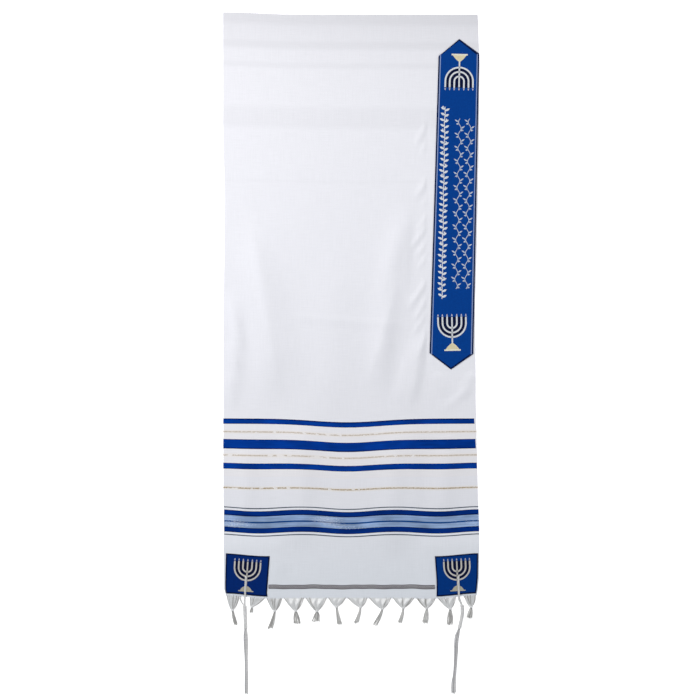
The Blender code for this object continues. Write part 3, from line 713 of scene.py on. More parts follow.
# %% Glints of metal thread in the light blue, and the under leaf showing through
LIGHT_MIDDLE, LIGHT_HALF = 0.1700, 0.0135
sparks = noise_of(tree, stretched(tree, place, (420.0, 900.0, 1.0)), 1.0, 1.0)
patches_of_sparks = noise_of(tree, stretched(tree, place, (9.0, 40.0, 1.0)), 1.0, 0.0)
glint = reckon(tree, "GREATER_THAN", reckon(tree, "MULTIPLY", sparks, patches_of_sparks), 0.40)
from_light = reckon(tree, "ABSOLUTE", reckon(tree, "SUBTRACT", hem_distance, LIGHT_MIDDLE))
in_light = reckon(tree, "LESS_THAN", from_light, LIGHT_HALF)
dyed = blend_colour(tree, reckon(tree, "MULTIPLY", glint, in_light), dyed, thread(226, 232, 244))
from_fold = reckon(tree, "SUBTRACT", FRONT_LEAF, v_axis)
from_fold = reckon(tree, "MULTIPLY_ADD", u_axis, -0.0055, from_fold)


def grey(value):
    return (value, value, value)


SEEN_REACH = 0.42
# Painted show-through of the under leaf's bands; the darkest stops, next to the fold, are also
# painted shade of the fold's roll.
show_through_and_fold_shade_stops = [
    (0.000, 0.85), (0.018, 0.86), (0.0290, 0.915), (0.050, 0.935), (0.058, 0.935), (0.065, 0.900),
    (0.073, 0.905), (0.083, 0.970), (0.105, 0.975), (0.111, 0.945), (0.117, 0.945), (0.124, 0.990),
    (0.200, 1.0), (0.214, 0.962), (0.246, 0.955), (0.260, 1.0), (0.366, 1.0), (0.372, 0.982),
    (0.378, 1.0),
]
show_through_and_fold_shade = ramp_of(
    tree,
    reckon(tree, "DIVIDE", from_fold, SEEN_REACH),
    [(position / SEEN_REACH, grey(value)) for position, value in show_through_and_fold_shade_stops],
)

# %% Painted cool light near the front hem, then the under leaf's painted show-through and the fold's painted shade
# The bluer white near the front hem is painted cool light, where the warm key lamp is weaker.
HEM_PAINTED_COOL_LIGHT = (1.0, 1.042, 1.052, 1)
near_hem = reckon(tree, "MULTIPLY_ADD", v_axis, -4.0, 1.0, clamp=True)
cool_lit = blend_colour(tree, 1.0, dyed, HEM_PAINTED_COOL_LIGHT, "MULTIPLY")
dyed = blend_colour(tree, near_hem, dyed, cool_lit)
on_front = reckon(tree, "GREATER_THAN", from_fold, 0.0)
dyed = blend_colour(tree, on_front, dyed, blend_colour(tree, 1.0, dyed, show_through_and_fold_shade, "MULTIPLY"))
print("show-through stops:", len(show_through_and_fold_shade_stops))

# %% The cloth's weave
woven = use_group(tree, weave, Cloth=place, Pitch=0.00055)
mottle = reckon(tree, "MULTIPLY_ADD", woven["Shade"], 0.10, 0.90)
dyed = blend_colour(tree, 1.0, dyed, mottle, "MULTIPLY")
plug(tree, dyed, shader.inputs["Base Color"])
add_bump(tree, shader, woven["Height"], 0.35, 0.00018)
shawl.data.materials.append(cloth_finish)
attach(shawl, "root")
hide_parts("shawl_cloth")
print("cloth material nodes:", len(tree.nodes))

# %% [markdown]
# ## Thread lines
#
# A line of thread on cloth, such as a braid, an outline or a row of stitches, is a thin pad with
# a rounded top that follows a path. One helper makes them all: it takes the path on the cloth,
# the cloth's own height, a width and a thickness. Many lines go into one piece.


# %% Helpers for thread lines and round yarns
class Threads:
    """Gathers many thin pieces of thread into one mesh."""

    def __init__(self):
        self.points, self.faces, self.corners = [], [], []

    def rings(self, rings, widths, lengths):
        """Joins rings of points into a closed tube; widths and lengths are cloth coordinates."""
        base, count = len(self.points), len(rings[0])
        for ring in rings:
            self.points += ring
        for j in range(len(rings) - 1):
            for i in range(count):
                k = (i + 1) % count
                low, high = base + j * count, base + (j + 1) * count
                self.faces.append((low + i, low + k, high + k, high + i))
                here, there = widths[i], widths[i + 1]
                corner = [(here, lengths[j]), (there, lengths[j])]
                corner += [(there, lengths[j + 1]), (here, lengths[j + 1])]
                self.corners.append(corner)
        last = base + (len(rings) - 1) * count
        self.faces.append(tuple(base + i for i in reversed(range(count))))
        self.corners.append([(widths[i], lengths[0]) for i in reversed(range(count))])
        self.faces.append(tuple(last + i for i in range(count)))
        self.corners.append([(widths[i], lengths[-1]) for i in range(count)])

    def piece(self, name, material):
        """The gathered threads as one smooth piece."""
        made = finish_mesh(name, self.points, self.faces, self.corners)
        made.data.materials.append(material)
        bpy.ops.object.select_all(action="DESELECT")
        made.select_set(True)
        bpy.context.view_layer.objects.active = made
        bpy.ops.object.shade_smooth_by_angle(angle=math.radians(60))
        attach(made, "root")
        return made


def path_lengths(path):
    """The length run so far at each point of a path."""
    lengths = [0.0]
    for before, after in zip(path, path[1:]):
        lengths.append(lengths[-1] + (after - before).length)
    return lengths


PAD_OUTLINE = ((-1, 0), (-0.55, 1), (0.55, 1), (1, 0))
PLY_PITCH, PLY_DEPTH = 0.004, 0.22


def add_pad(threads, path, width, height, rest_z, taper=0.0):
    """A flat-bottomed thread line along a path in X and Y; rest_z gives the cloth under it."""
    rings = []
    total = len(path) - 1
    for i, point in enumerate(path):
        run = (path[min(i + 1, total)] - path[max(i - 1, 0)]).normalized()
        side = Vector((-run.y, run.x))
        half = width / 2 * (1 - taper * abs(2 * i / total - 1) ** 2 if total else 1)
        ring = []
        for a, b in PAD_OUTLINE:
            spot = point + side * a * half
            ring.append(Vector((spot.x, spot.y, rest_z(spot.x, spot.y) + b * height)))
        rings.append(ring[::-1])
    threads.rings(rings, [width, 0.75 * width, 0.25 * width, 0.0, width], path_lengths(path))


def add_yarn(threads, path, radius_at, sides=5, plies=0):
    """A round or twisted yarn along a path in space; plies gives it that many lobes."""
    lengths = path_lengths(path)
    run = (path[1] - path[0]).normalized()
    normal = run.cross(Vector((1, 0, 0))).normalized()
    rings = []
    for i, point in enumerate(path):
        after, before = path[min(i + 1, len(path) - 1)], path[max(i - 1, 0)]
        run = (after - before).normalized()
        normal = (normal - run * normal.dot(run)).normalized()
        side = run.cross(normal)
        radius = radius_at(i / (len(path) - 1))
        spin = 2 * math.pi * lengths[i] / PLY_PITCH
        ring = []
        for k in range(sides):
            angle = 2 * math.pi * k / sides
            lobe = 1 + PLY_DEPTH * math.cos(plies * angle - spin) if plies else 1.0
            ring.append(point + (normal * math.cos(angle) + side * math.sin(angle)) * radius * lobe)
        rings.append(ring)
    widths = [0.002 * k / sides for k in range(sides + 1)]
    threads.rings(rings, widths, lengths)


print("thread helpers ready")


# %% Thread finishes: metal thread, braid and yarn
def thread_finish(name, colour, deep, roughness, metallic, pitch, slant, specular=0.5, sheen=0.0):
    """A thread material whose stitches shade from a deep to a full colour."""
    finish, tree, shader = new_finish(name, roughness, sheen, metallic, specular)
    lines = use_group(tree, stitch, Cloth=cloth_place(tree), Pitch=pitch, Slant=slant)
    share = reckon(tree, "MULTIPLY_ADD", lines["Shade"], 1.4, 0.15, clamp=True)
    shaded = blend_colour(tree, share, thread(*deep), thread(*colour))
    plug(tree, shaded, shader.inputs["Base Color"])
    add_bump(tree, shader, lines["Height"], 0.6, 0.00015)
    return finish


# Each row: name, full colour, deep colour, roughness, metal, the stitches' pitch and slant, and
# where they differ the specular and the sheen.
SATIN, TWIST = (0.0007, 0.0), (0.0016, 1.0)
FINISH_ROWS = (
    ("silver_thread", (236, 232, 228), (170, 164, 158), 0.42, 0.15, *SATIN),
    ("bright_silver_thread", (240, 242, 246), (184, 186, 192), 0.42, 0.10, *SATIN),
    ("flame_thread", (212, 210, 226), (150, 146, 166), 0.5, 0.0, *SATIN),
    ("gold_thread", (246, 238, 206), (190, 170, 120), 0.40, 0.15, *SATIN),
    ("cream_thread", (252, 248, 232), (206, 198, 172), 0.45, 0.05, *SATIN),
    ("dull_gold_thread", (214, 208, 188), (144, 136, 114), 0.45, 0.10, *SATIN),
    # The lamps' dark sheet is painted shade in the gaps between the arms.
    ("lamp_ground_thread", (6, 20, 64), (3, 8, 34), 0.6, 0.0, 0.0007, 0.3, 0.05),
    ("grey_braid_thread", (216, 212, 216), (120, 116, 122), 0.7, 0.0, 0.0034, 1.4, 0.1),
    # A dark tape under the braid: painted shade at its edges and between its strands.
    ("dark_tape_thread", (84, 82, 90), (48, 47, 54), 0.7, 0.0, 0.0012, 0.0, 0.1),
    ("white_yarn", (246, 246, 246), (212, 212, 214), 0.85, 0.0, *TWIST, 0.1, 0.1),
    # The loose ends' yarn is the white yarn drawn darker: painted shade of the ends on each other.
    ("loose_yarn", (238, 237, 235), (184, 182, 180), 0.85, 0.0, *TWIST, 0.1, 0.1),
    ("shaded_yarn", (206, 204, 202), (152, 150, 148), 0.85, 0.0, *TWIST, 0.1, 0.1),
    ("tzitzit_string", (252, 251, 250), (196, 195, 196), 0.8, 0.0, 0.0018, 1.0, 0.1, 0.1),
    ("shaded_string", (222, 221, 223), (166, 166, 169), 0.8, 0.0, 0.0018, 1.0, 0.1, 0.1),
    ("seam_thread", (14, 46, 112), (4, 22, 66), 0.6, 0.0, *SATIN, 0.2),
    ("vine_thread", (216, 220, 230), (150, 158, 178), 0.45, 0.1, *SATIN, 0.2),
    ("edge_line_thread", (152, 168, 208), (106, 126, 172), 0.5, 0.0, *SATIN, 0.1),
)
finishes = {row[0]: thread_finish(*row) for row in FINISH_ROWS}
print("thread finishes:", len(finishes))


# %% The satin ribbon finish
def satin_finish(name, body, edge, half_width, height, rim_width, point=0.0):
    """A satin ribbon: fine slanted floats and a darker rim of painted shade, also along pointed ends.
    """
    finish, tree, shader = new_finish(name, 0.5, sheen=0.0, specular=0.05)
    place = cloth_place(tree)
    across, along, _ = axes_of(tree, place)
    floats = use_group(tree, stitch, Cloth=place, Pitch=0.0006, Slant=0.45)
    slubs = use_group(tree, weave, Cloth=place, Pitch=0.0006)
    side_gap = reckon(tree, "SUBTRACT", half_width, reckon(tree, "ABSOLUTE", across))
    slope = point / half_width
    cut_back = reckon(tree, "MULTIPLY", reckon(tree, "ABSOLUTE", across), slope)
    end_gap = reckon(tree, "SUBTRACT", height / 2, reckon(tree, "ABSOLUTE", along))
    end_gap = reckon(tree, "SUBTRACT", end_gap, cut_back)
    end_gap = reckon(tree, "DIVIDE", end_gap, math.hypot(1.0, slope))
    # The darker rim is painted shade along the ribbon's edges.
    rim = reckon(tree, "LESS_THAN", reckon(tree, "MINIMUM", side_gap, end_gap), rim_width)
    colour = blend_colour(tree, rim, body, edge)
    tone = reckon(tree, "MULTIPLY_ADD", slubs["Shade"], 0.22, 0.53)
    wear = noise_of(tree, place, 240.0, 3.0, 0.6)
    tone = reckon(tree, "ADD", tone, reckon(tree, "MULTIPLY", wear, 0.5))
    plug(tree, blend_colour(tree, 1.0, colour, tone, "MULTIPLY"), shader.inputs["Base Color"])
    add_bump(tree, shader, reckon(tree, "ADD", floats["Height"], slubs["Height"]), 0.35, 0.00012)
    return finish


print("satin finish ready")

# %% [markdown]
# ## The neckband
#
# The atarah is a satin ribbon with a pointed end at each side. It is cut from flat ribbon and
# lies flat, so a grid with its points drawn along two slanted ends is enough. Its cloth
# coordinates run from its middle, so the finish can find its edges and paint shade along them.

# %% The neckband's ribbon
BAND_POINT = 0.0351
BAND_LOW_SKEW = 0.0010
BAND_HIGH_SKEW = 0.0030
BAND_LOW_UP = 0.5060
BAND_HIGH_UP = 1.2350
BAND_LOW_HALF = 0.0484
BAND_HIGH_HALF = 0.0446
BAND_LOW_X = 0.2202
BAND_HIGH_X = 0.2384
BAND_LENGTH = BAND_HIGH_UP - BAND_LOW_UP
BAND_FLAT_HALF = (BAND_LOW_HALF + BAND_HIGH_HALF) / 2


def band_place(a, up):
    """X and Y on the neckband; a runs from -1 at its left edge to 1 at its right edge."""
    share = (up - BAND_LOW_UP) / BAND_LENGTH
    half = BAND_LOW_HALF + (BAND_HIGH_HALF - BAND_LOW_HALF) * share
    return Vector((BAND_LOW_X + (BAND_HIGH_X - BAND_LOW_X) * share + a * half, HEM_Y + up))


def band_row(a, along):
    """The height above the hem of a ribbon row, drawn to a point at both ends."""
    low = BAND_LOW_UP + BAND_POINT * abs(a) - BAND_LOW_SKEW * a
    high = BAND_HIGH_UP - BAND_POINT * abs(a) + BAND_HIGH_SKEW * a
    return low + (high - low) * along


def ribbon_point(a, along):
    spot = band_place(a, band_row(a, along))
    return Vector((spot.x, spot.y, front_under_z(spot.x, spot.y) + WALL + SEAM_GAP))


def ribbon_flat(a, along):
    return (a * BAND_FLAT_HALF, band_row(a, along) - (BAND_LOW_UP + BAND_HIGH_UP) / 2)


band_across, band_along = steps(-1, 1, 16), steps(0, 1, 120)
neckband = woven_grid("neckband_ribbon", band_across, band_along, ribbon_point, ribbon_flat)
give_wall(neckband, RIBBON)
# The second, darker blue is painted shade along the ribbon's edges.
BAND_BLUES = (thread(2, 61, 140), thread(0, 20, 66))
BAND_RIM = 0.0032
band_finish = satin_finish(
    "neckband_satin", *BAND_BLUES, BAND_FLAT_HALF, BAND_LENGTH, BAND_RIM, point=BAND_POINT
)
neckband.data.materials.append(band_finish)
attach(neckband, "root")
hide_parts("atarah_band")
print("neckband faces:", len(neckband.data.polygons))

# %% [markdown]
# ## The corner patches
#
# Four squares of the same ribbon stiffen the corners where the strings pull. The two in front
# follow the lifted corners; the other two lie on the underside of the short leaf.

# %% The patches in front
PATCH_HEIGHT = 0.0895
PATCH_ABOVE_HEM = 0.0052
PATCH_FLAT_HALF = 0.0465
PATCH_RIM = 0.0030
# The left patch's darker blue is painted shade: both are the same satin, the left one coloured as if
# turned from the light.
PATCH_BLUES_LIT_AND_SHADED = {
    "left": (thread(3, 42, 114), thread(0, 14, 54)),
    "right": (thread(2, 56, 132), thread(0, 16, 60)),
}
patch_finishes = {}
for word, blues in PATCH_BLUES_LIT_AND_SHADED.items():
    name = word + "_patch_satin"
    patch_finishes[word] = satin_finish(name, *blues, PATCH_FLAT_HALF, PATCH_HEIGHT, PATCH_RIM)

PatchRow = namedtuple("PatchRow", "word side inner_low inner_high outer_low outer_high")
PATCH_ROWS = (
    PatchRow("left", -1, 0.3323, 0.3200, 0.4958, 0.4908),
    PatchRow("right", 1, 0.3385, 0.3255, 0.4945, 0.4945),
)


def patch_thread(row, a, along):
    """The cloth thread under a patch; a runs from -1 at its inner to 1 at its outer edge."""
    inner = row.inner_low + (row.inner_high - row.inner_low) * along
    outer = row.outer_low + (row.outer_high - row.outer_low) * along
    return row.side * (inner + (outer - inner) * (a + 1) / 2)


def patch_maker(row):
    """The rule that places the patch on one side of the front leaf."""

    def patch_point(a, along):
        u = patch_thread(row, row.side * a, along)
        up = PATCH_ABOVE_HEM + PATCH_HEIGHT * along
        x, y = side_x(u, up), HEM_Y + up + wander(u, up)
        return Vector((x, y, front_under_z(x, y) + WALL + SEAM_GAP))

    return patch_point


def patch_flat(a, along):
    return (a * PATCH_FLAT_HALF, (along - 0.5) * PATCH_HEIGHT)


front_patches = {}
for row in PATCH_ROWS:
    stops = (steps(-1, 1, 20), steps(0, 1, 20))
    patch = woven_grid(f"patch_front_{row.word}", *stops, patch_maker(row), patch_flat)
    give_wall(patch, RIBBON)
    patch.data.materials.append(patch_finishes[row.word])
    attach(patch, "root")
    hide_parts(f"corner_patch_front_{row.word}")
    front_patches[row.side] = patch
print("front patches:", len(front_patches))

# %% The patches under the short leaf
for row in PATCH_ROWS:

    def under_patch_point(a, along):
        u = patch_thread(row, -row.side * a, along)
        y = UNDER_HEM_Y + PATCH_ABOVE_HEM + PATCH_HEIGHT * along
        return Vector((side_x(u, y - HEM_Y, UNDER_INSET), y, RIBBON))

    stops = (steps(-1, 1, 12), steps(0, 1, 12))
    patch = woven_grid(f"patch_under_{row.word}", *stops, under_patch_point, patch_flat)
    give_wall(patch, RIBBON)
    patch.data.materials.append(patch_finishes[row.word])
    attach(patch, "root")
    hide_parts(f"corner_patch_under_{row.word}")
print("under patches made")

# %% [markdown]
# ## The embroidered lamp
#
# A seven-branched lamp is stitched on the patches and at both ends of the neckband. Its six arms
# are three half circles with straight ends, so each pair is a narrow strip spun half a turn and
# drawn up at both ends. It is modelled once, flat, and copied to each place.


# %% Helpers for modelling in edit mode
def begin(name, width, height, x, y):
    """A flat rectangle, in edit mode, with nothing else selected."""
    bpy.ops.object.select_all(action="DESELECT")
    bpy.ops.mesh.primitive_plane_add(size=1, location=(x, y, 0))
    piece = bpy.context.object
    piece.name = name
    piece.scale = (width, height, 1)
    bpy.ops.object.transform_apply(location=True, rotation=True, scale=True)
    bpy.ops.object.mode_set(mode="EDIT")
    bpy.ops.mesh.select_mode(type="EDGE")
    return piece


def pick(piece, test):
    """Selects the edges whose two ends pass a test."""
    bpy.ops.mesh.select_all(action="DESELECT")
    work = bmesh.from_edit_mesh(piece.data)
    for edge in work.edges:
        if all(test(vertex.co) for vertex in edge.verts):
            edge.select_set(True)
    bmesh.update_edit_mesh(piece.data)


# %% One lamp arm pair: spun round the bottom, drawn up to its tips
LAMP_RADII = (0.0298, 0.0203, 0.0104)
LAMP_RISE = 0.0134
ARM_WIDTH = 0.0036


def lamp_arms(radius, rise):
    """A U of satin stitch."""
    arm = begin("lamp_arm", ARM_WIDTH, rise, radius, rise / 2)
    pick(arm, lambda co: abs(co.y) < 1e-5)
    bpy.ops.mesh.spin(steps=20, angle=math.pi, center=(0, 0, 0), axis=(0, 0, 1))
    pick(arm, lambda co: abs(co.y) < 1e-5 and co.x < 0)
    bpy.ops.mesh.extrude_edges_move(TRANSFORM_OT_translate={"value": (0, rise, 0)})
    bpy.ops.object.mode_set(mode="OBJECT")
    return arm


arms = [lamp_arms(radius, LAMP_RISE + 0.0006 * i) for i, radius in enumerate(LAMP_RADII)]
low = min(vertex.co.y for vertex in arms[0].data.vertices)
print("lowest point of the outer arm:", round(low, 4))


# %% The lamp's stem, flames and foot
def lamp_bar(width, height, x, y, top_share=1.0):
    """A straight piece of stitching, its upper edge narrowed by top_share."""
    bar = begin("lamp_bar", width, height, x, y)
    pick(bar, lambda co: co.y > y)
    bpy.ops.transform.resize(value=(top_share, 1, 1), center_override=(x, y, 0))
    bpy.ops.object.mode_set(mode="OBJECT")
    return bar


STEM_LOW = -0.0430
FLAME_WIDTH, FLAME_HEIGHT, FLAME_GAP = 0.0036, 0.0042, 0.0041
stem = lamp_bar(ARM_WIDTH * 0.9, LAMP_RISE - STEM_LOW, 0.0, (LAMP_RISE + STEM_LOW) / 2)
flames = []
for x in sorted([0.0] + list(LAMP_RADII) + [-radius for radius in LAMP_RADII]):
    flames.append(lamp_bar(FLAME_WIDTH, FLAME_HEIGHT, x, LAMP_RISE + FLAME_GAP, 0.3))
print("flames:", len(flames))


# %% The lamp's foot: a flared dome on a flat base
def lamp_foot(foot_steps):
    """A foot drawn down in steps from the stem; each step is (drop, half width)."""
    half = foot_steps[0][1]
    foot = begin("lamp_foot", 2 * half, 0.0004, 0.0, STEM_LOW + 0.0002)
    for drop, half in foot_steps[1:]:
        edge_y = min(vertex.co.y for vertex in bmesh.from_edit_mesh(foot.data).verts)
        pick(foot, lambda co: co.y < edge_y + 1e-6)
        down = STEM_LOW - drop - edge_y
        bpy.ops.mesh.extrude_edges_move(TRANSFORM_OT_translate={"value": (0, down, 0)})
        work = bmesh.from_edit_mesh(foot.data)
        for vertex in work.verts:
            if vertex.select:
                vertex.co.x = math.copysign(half, vertex.co.x)
        bmesh.update_edit_mesh(foot.data)
    bpy.ops.object.mode_set(mode="OBJECT")
    return foot


FOOT_STEPS = {
    "tall": ((0.0, 0.0022), (0.0014, 0.0042), (0.0044, 0.0078), (0.0088, 0.0116), (0.0130, 0.0146)),
    "low": ((0.0, 0.0022), (0.0012, 0.0056), (0.0036, 0.0092), (0.0072, 0.0120), (0.0104, 0.0136)),
}
PLATE_WIDTH = 0.0350
PLATE_HEIGHTS = {"tall": 0.0032, "low": 0.0024}
feet = {}
for word, foot_steps in FOOT_STEPS.items():
    low, height = STEM_LOW - foot_steps[-1][0], PLATE_HEIGHTS[word]
    plate = lamp_bar(PLATE_WIDTH, height, 0.0, low - height / 2)
    feet[word] = (lamp_foot(foot_steps), plate)
print("feet:", ", ".join(feet))


# %% A dark sheet behind the arms, painted shade in the gaps between them
def lamp_backing(radius, rise):
    """A half disc with a straight-sided top, as wide as the outer arms."""
    bpy.ops.object.select_all(action="DESELECT")
    bpy.ops.mesh.primitive_grid_add(x_subdivisions=16, y_subdivisions=12, size=2)
    backing = bpy.context.object
    backing.name = "lamp_backing"
    for vertex in backing.data.vertices:
        x, y = vertex.co.x * radius, vertex.co.y
        drop = math.sqrt(max(0.0, radius * radius - x * x))
        vertex.co = Vector((x, -drop + (rise + drop) * (y + 1) / 2, 0))
    return backing


backing = lamp_backing(LAMP_RADII[0], LAMP_RISE + 0.0004)
print("backing faces:", len(backing.data.polygons))

# %% [markdown]
# Embroidery lies on the cloth as a low pad. A copy of each flat part is turned and scaled to its
# place, laid point by point on the ribbon's height, and thickened. A dark sheet lies first, painted
# shade in the gaps between the arms, and the arms lie on it. The lamp at the top of the neckband is
# upside down, as the ribbon was woven.


# %% Copying a flat motif on to the cloth
STITCH_THICKNESS, GAP_SHADE_THICKNESS = 0.0005, 0.0002
JUST_ABOVE = 0.00002


def lay_motif(parts, name, material, spot, turn, size, rest_z, thickness):
    """Joins copies of flat parts, lays them at a spot, and gives them a stitched thickness."""
    gathered = bmesh.new()
    for part in parts:
        gathered.from_mesh(part.data)
    mesh = bpy.data.meshes.new(name)
    gathered.to_mesh(mesh)
    gathered.free()
    layer = mesh.uv_layers.new(name="cloth")
    for loop in mesh.loops:
        flat = mesh.vertices[loop.vertex_index].co
        layer.data[loop.index].uv = (flat.x, flat.y)
    cosine, sine = math.cos(turn), math.sin(turn)
    for vertex in mesh.vertices:
        x, y = vertex.co.x * size, vertex.co.y * size
        x, y = spot.x + x * cosine - y * sine, spot.y + x * sine + y * cosine
        vertex.co = Vector((x, y, rest_z(x, y)))
    motif = bpy.data.objects.new(name, mesh)
    scene.collection.objects.link(motif)
    motif.data.materials.append(material)
    wall = motif.modifiers.new("stitch height", "SOLIDIFY")
    wall.thickness = thickness
    wall.offset = 1.0
    apply_all(motif)
    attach(motif, "root")
    return motif


def ribbon_top(x, y):
    """The height just above a ribbon on the front leaf."""
    return front_under_z(x, y) + WALL + SEAM_GAP + RIBBON + JUST_ABOVE


def gap_shade_top(x, y):
    """The height just above a lamp's dark sheet of painted shade."""
    return ribbon_top(x, y) + GAP_SHADE_THICKNESS + JUST_ABOVE


LampSpot = namedtuple("LampSpot", "name px py turn size arm_thread foot_thread plate_thread foot")
PATCH_THREADS = ("silver_thread", "dull_gold_thread", "dull_gold_thread", "low")
BAND_THREADS = ("bright_silver_thread", "gold_thread", "cream_thread", "tall")
LAMP_SPOTS = (
    LampSpot("patch_left", 247.5, 567.3, -0.070, 0.955, *PATCH_THREADS),
    LampSpot("patch_right", 456.8, 566.7, 0.045, 0.955, *PATCH_THREADS),
    LampSpot("neckband_low", 451.9, 323.2, 0.020, 1.03, *BAND_THREADS),
    LampSpot("neckband_high", 459.0, 81.6, math.pi - 0.020, 1.02, *BAND_THREADS),
)
for row in LAMP_SPOTS:
    where = (Vector((across_at(row.px), HEM_Y + up_at(row.py))), row.turn, row.size)
    dome, plate = feet[row.foot]
    for parts, label, thread_name, rest_z, thickness in (
        # First the dark sheet of painted shade between the arms.
        ([backing], "lamp_ground", "lamp_ground_thread", ribbon_top, GAP_SHADE_THICKNESS),
        (arms + [stem], "lamp", row.arm_thread, gap_shade_top, STITCH_THICKNESS),
        (flames, "flames", "flame_thread", ribbon_top, STITCH_THICKNESS),
        ([dome], "lamp_foot", row.foot_thread, ribbon_top, STITCH_THICKNESS),
        ([plate], "lamp_plate", row.plate_thread, ribbon_top, STITCH_THICKNESS),
    ):
        name = f"{row.name}_{label}"
        lay_motif(parts, name, finishes[thread_name], *where, rest_z, thickness)
for part in arms + [stem, backing, *feet["tall"], *feet["low"]] + flames:
    bpy.data.objects.remove(part)
print("lamps laid:", len(LAMP_SPOTS))

# %% [markdown]
# ## Seams
#
# The ribbons are sewn down with a short running stitch just inside their edges. Each stitch is a
# small pad of thread, so the seam catches light as a row of dots when seen close.

# %% Running stitches round the ribbons
seams = Threads()
SEAM_WIDTH = 0.0007
PATCH_SEAM, PATCH_SEAM_ENDS = 0.955, (0.024, 0.976)
BAND_SEAM, BAND_SEAM_ENDS = 0.972, (0.003, 0.997)
LOW_PAD, HIGH_PAD = 0.0003, 0.0005


def add_running_stitch(threads, path):
    """Every second stretch of a path, as a stitch on a ribbon."""
    for before, after in zip(path[::2], path[1::2]):
        add_pad(threads, [before, after], SEAM_WIDTH, LOW_PAD, ribbon_top)


for row in PATCH_ROWS:
    spot_at = patch_maker(row)
    low, high = PATCH_SEAM_ENDS
    for a, along in ((-PATCH_SEAM, None), (PATCH_SEAM, None), (None, low), (None, high)):
        stops = steps(-PATCH_SEAM, PATCH_SEAM, 41) if a is None else steps(low, high, 41)
        spots = [spot_at(stop, along) if a is None else spot_at(a, stop) for stop in stops]
        add_running_stitch(seams, [Vector((spot.x, spot.y)) for spot in spots])
for a in (-BAND_SEAM, BAND_SEAM):
    stops = steps(BAND_LOW_UP + BAND_POINT, BAND_HIGH_UP - BAND_POINT, 301)
    add_running_stitch(seams, [band_place(a, up) for up in stops])
for along in BAND_SEAM_ENDS:
    stops = steps(-BAND_SEAM, BAND_SEAM, 49)
    add_running_stitch(seams, [band_place(a, band_row(a, along)) for a in stops])
seam_piece = seams.piece("ribbon_seams", finishes["seam_thread"])
print("seam faces:", len(seam_piece.data.polygons))

# %% [markdown]
# ## The neckband's running ornament
#
# Between the two lamps run borders of leaves: an olive branch with its fruit, and beside it two
# thin vines. They are thread lines on the ribbon, each leaf a short pad that narrows to both ends.
# One pale line runs along each edge.

# %% Helpers for leaves, the branch and the vines
branch, vines, edge_lines = Threads(), Threads(), Threads()
BRANCH_STEM, BRANCH_LEAF, FRUIT = 0.0019, 0.0050, 0.0034
VINE_STEM, VINE_LEAF, VINE_LOW_LEAF, BUD = 0.0015, 0.0032, 0.0026, 0.0028
BRANCH_PAIRS, VINE_REPEATS = 34, 26
VINE_SWING = 0.0030


def add_leaf(threads, base, tip, width):
    """A leaf-shaped satin stitch."""
    path = [base.lerp(tip, s) for s in steps(0, 1, 6)]
    add_pad(threads, path, width, HIGH_PAD, ribbon_top, taper=0.92)


def add_branch(threads, low_a, high_a, start_up, end_up, pairs):
    """An olive branch: a bowed stem, leaves on both its sides, and a fruit above some of them."""
    ups = steps(start_up, end_up, 4 * pairs)
    path = []
    for i, up in enumerate(ups):
        a = low_a + (high_a - low_a) * i / (4 * pairs)
        path.append(band_place(a, up) + Vector((0.0007 * math.sin(math.pi * i / 8), 0)))
    add_pad(threads, path, BRANCH_STEM, HIGH_PAD, ribbon_top)
    for number in range(pairs):
        for side in (-1, 1):
            base = path[4 * number + (1 if side > 0 else 2)]
            reach = 0.0094 + 0.0009 * math.sin(number * 2.1 + side)
            add_leaf(threads, base, base + Vector((side * reach, 0.0052)), BRANCH_LEAF)
            if (number + side) % 4 == 0:
                fruit = base + Vector((side * 0.0044, 0.0066))
                half = Vector((0, 0.0017))
                add_leaf(threads, fruit - half, fruit + half, FRUIT)


def add_vine(threads, a, start_up, end_up, repeats):
    """A thin waving stem with a leaf, a smaller leaf and a bud in each bend."""
    ups = steps(start_up, end_up, 12 * repeats)
    path = []
    for i, up in enumerate(ups):
        path.append(band_place(a, up) + Vector((VINE_SWING * math.sin(math.pi * i / 12), 0)))
    add_pad(threads, path, VINE_STEM, 0.0004, ribbon_top)
    for number in range(repeats):
        side = 1 if number % 2 else -1
        base = path[12 * number + 6]
        add_leaf(threads, base, base + Vector((-side * 0.0082, 0.0052)), VINE_LEAF)
        low_tip = base + Vector((-side * 0.0052, -0.0052))
        add_leaf(threads, base - Vector((0, 0.002)), low_tip, VINE_LOW_LEAF)
        bud = path[12 * number + 2] + Vector((-side * 0.0030, 0))
        add_leaf(threads, bud - Vector((0, 0.0016)), bud + Vector((0, 0.0016)), BUD)


# %% The branch and the two vines
add_branch(branch, -0.508, -0.615, up_at(299), up_at(107), BRANCH_PAIRS)
for a in (0.13, 0.60):
    add_vine(vines, a, up_at(289), up_at(119), VINE_REPEATS)
branch_piece = branch.piece("neckband_branch", finishes["bright_silver_thread"])
vine_piece = vines.piece("neckband_vines", finishes["vine_thread"])
print("ornament faces:", len(branch_piece.data.polygons) + len(vine_piece.data.polygons))

# %% A pale line along each edge of the ribbon
EDGE_LINE_WIDTH = 0.0022
EDGE_LINE_STOP = 0.0335
for a in (-0.905, 0.91):
    ups = steps(BAND_LOW_UP + EDGE_LINE_STOP, BAND_HIGH_UP - EDGE_LINE_STOP, 90)
    add_pad(edge_lines, [band_place(a, up) for up in ups], EDGE_LINE_WIDTH, LOW_PAD, ribbon_top)
edge_lines.piece("neckband_edge_lines", finishes["edge_line_thread"])
print("edge lines laid")

# %% [markdown]
# ## The braid above the hem
#
# A grey braid is couched across the front leaf between the two patches: three strands that pass
# over and under each other. It is made of three yarns, each a third of a turn behind the last,
# on a dark tape that paints the shade at the braid's edges and between its strands.

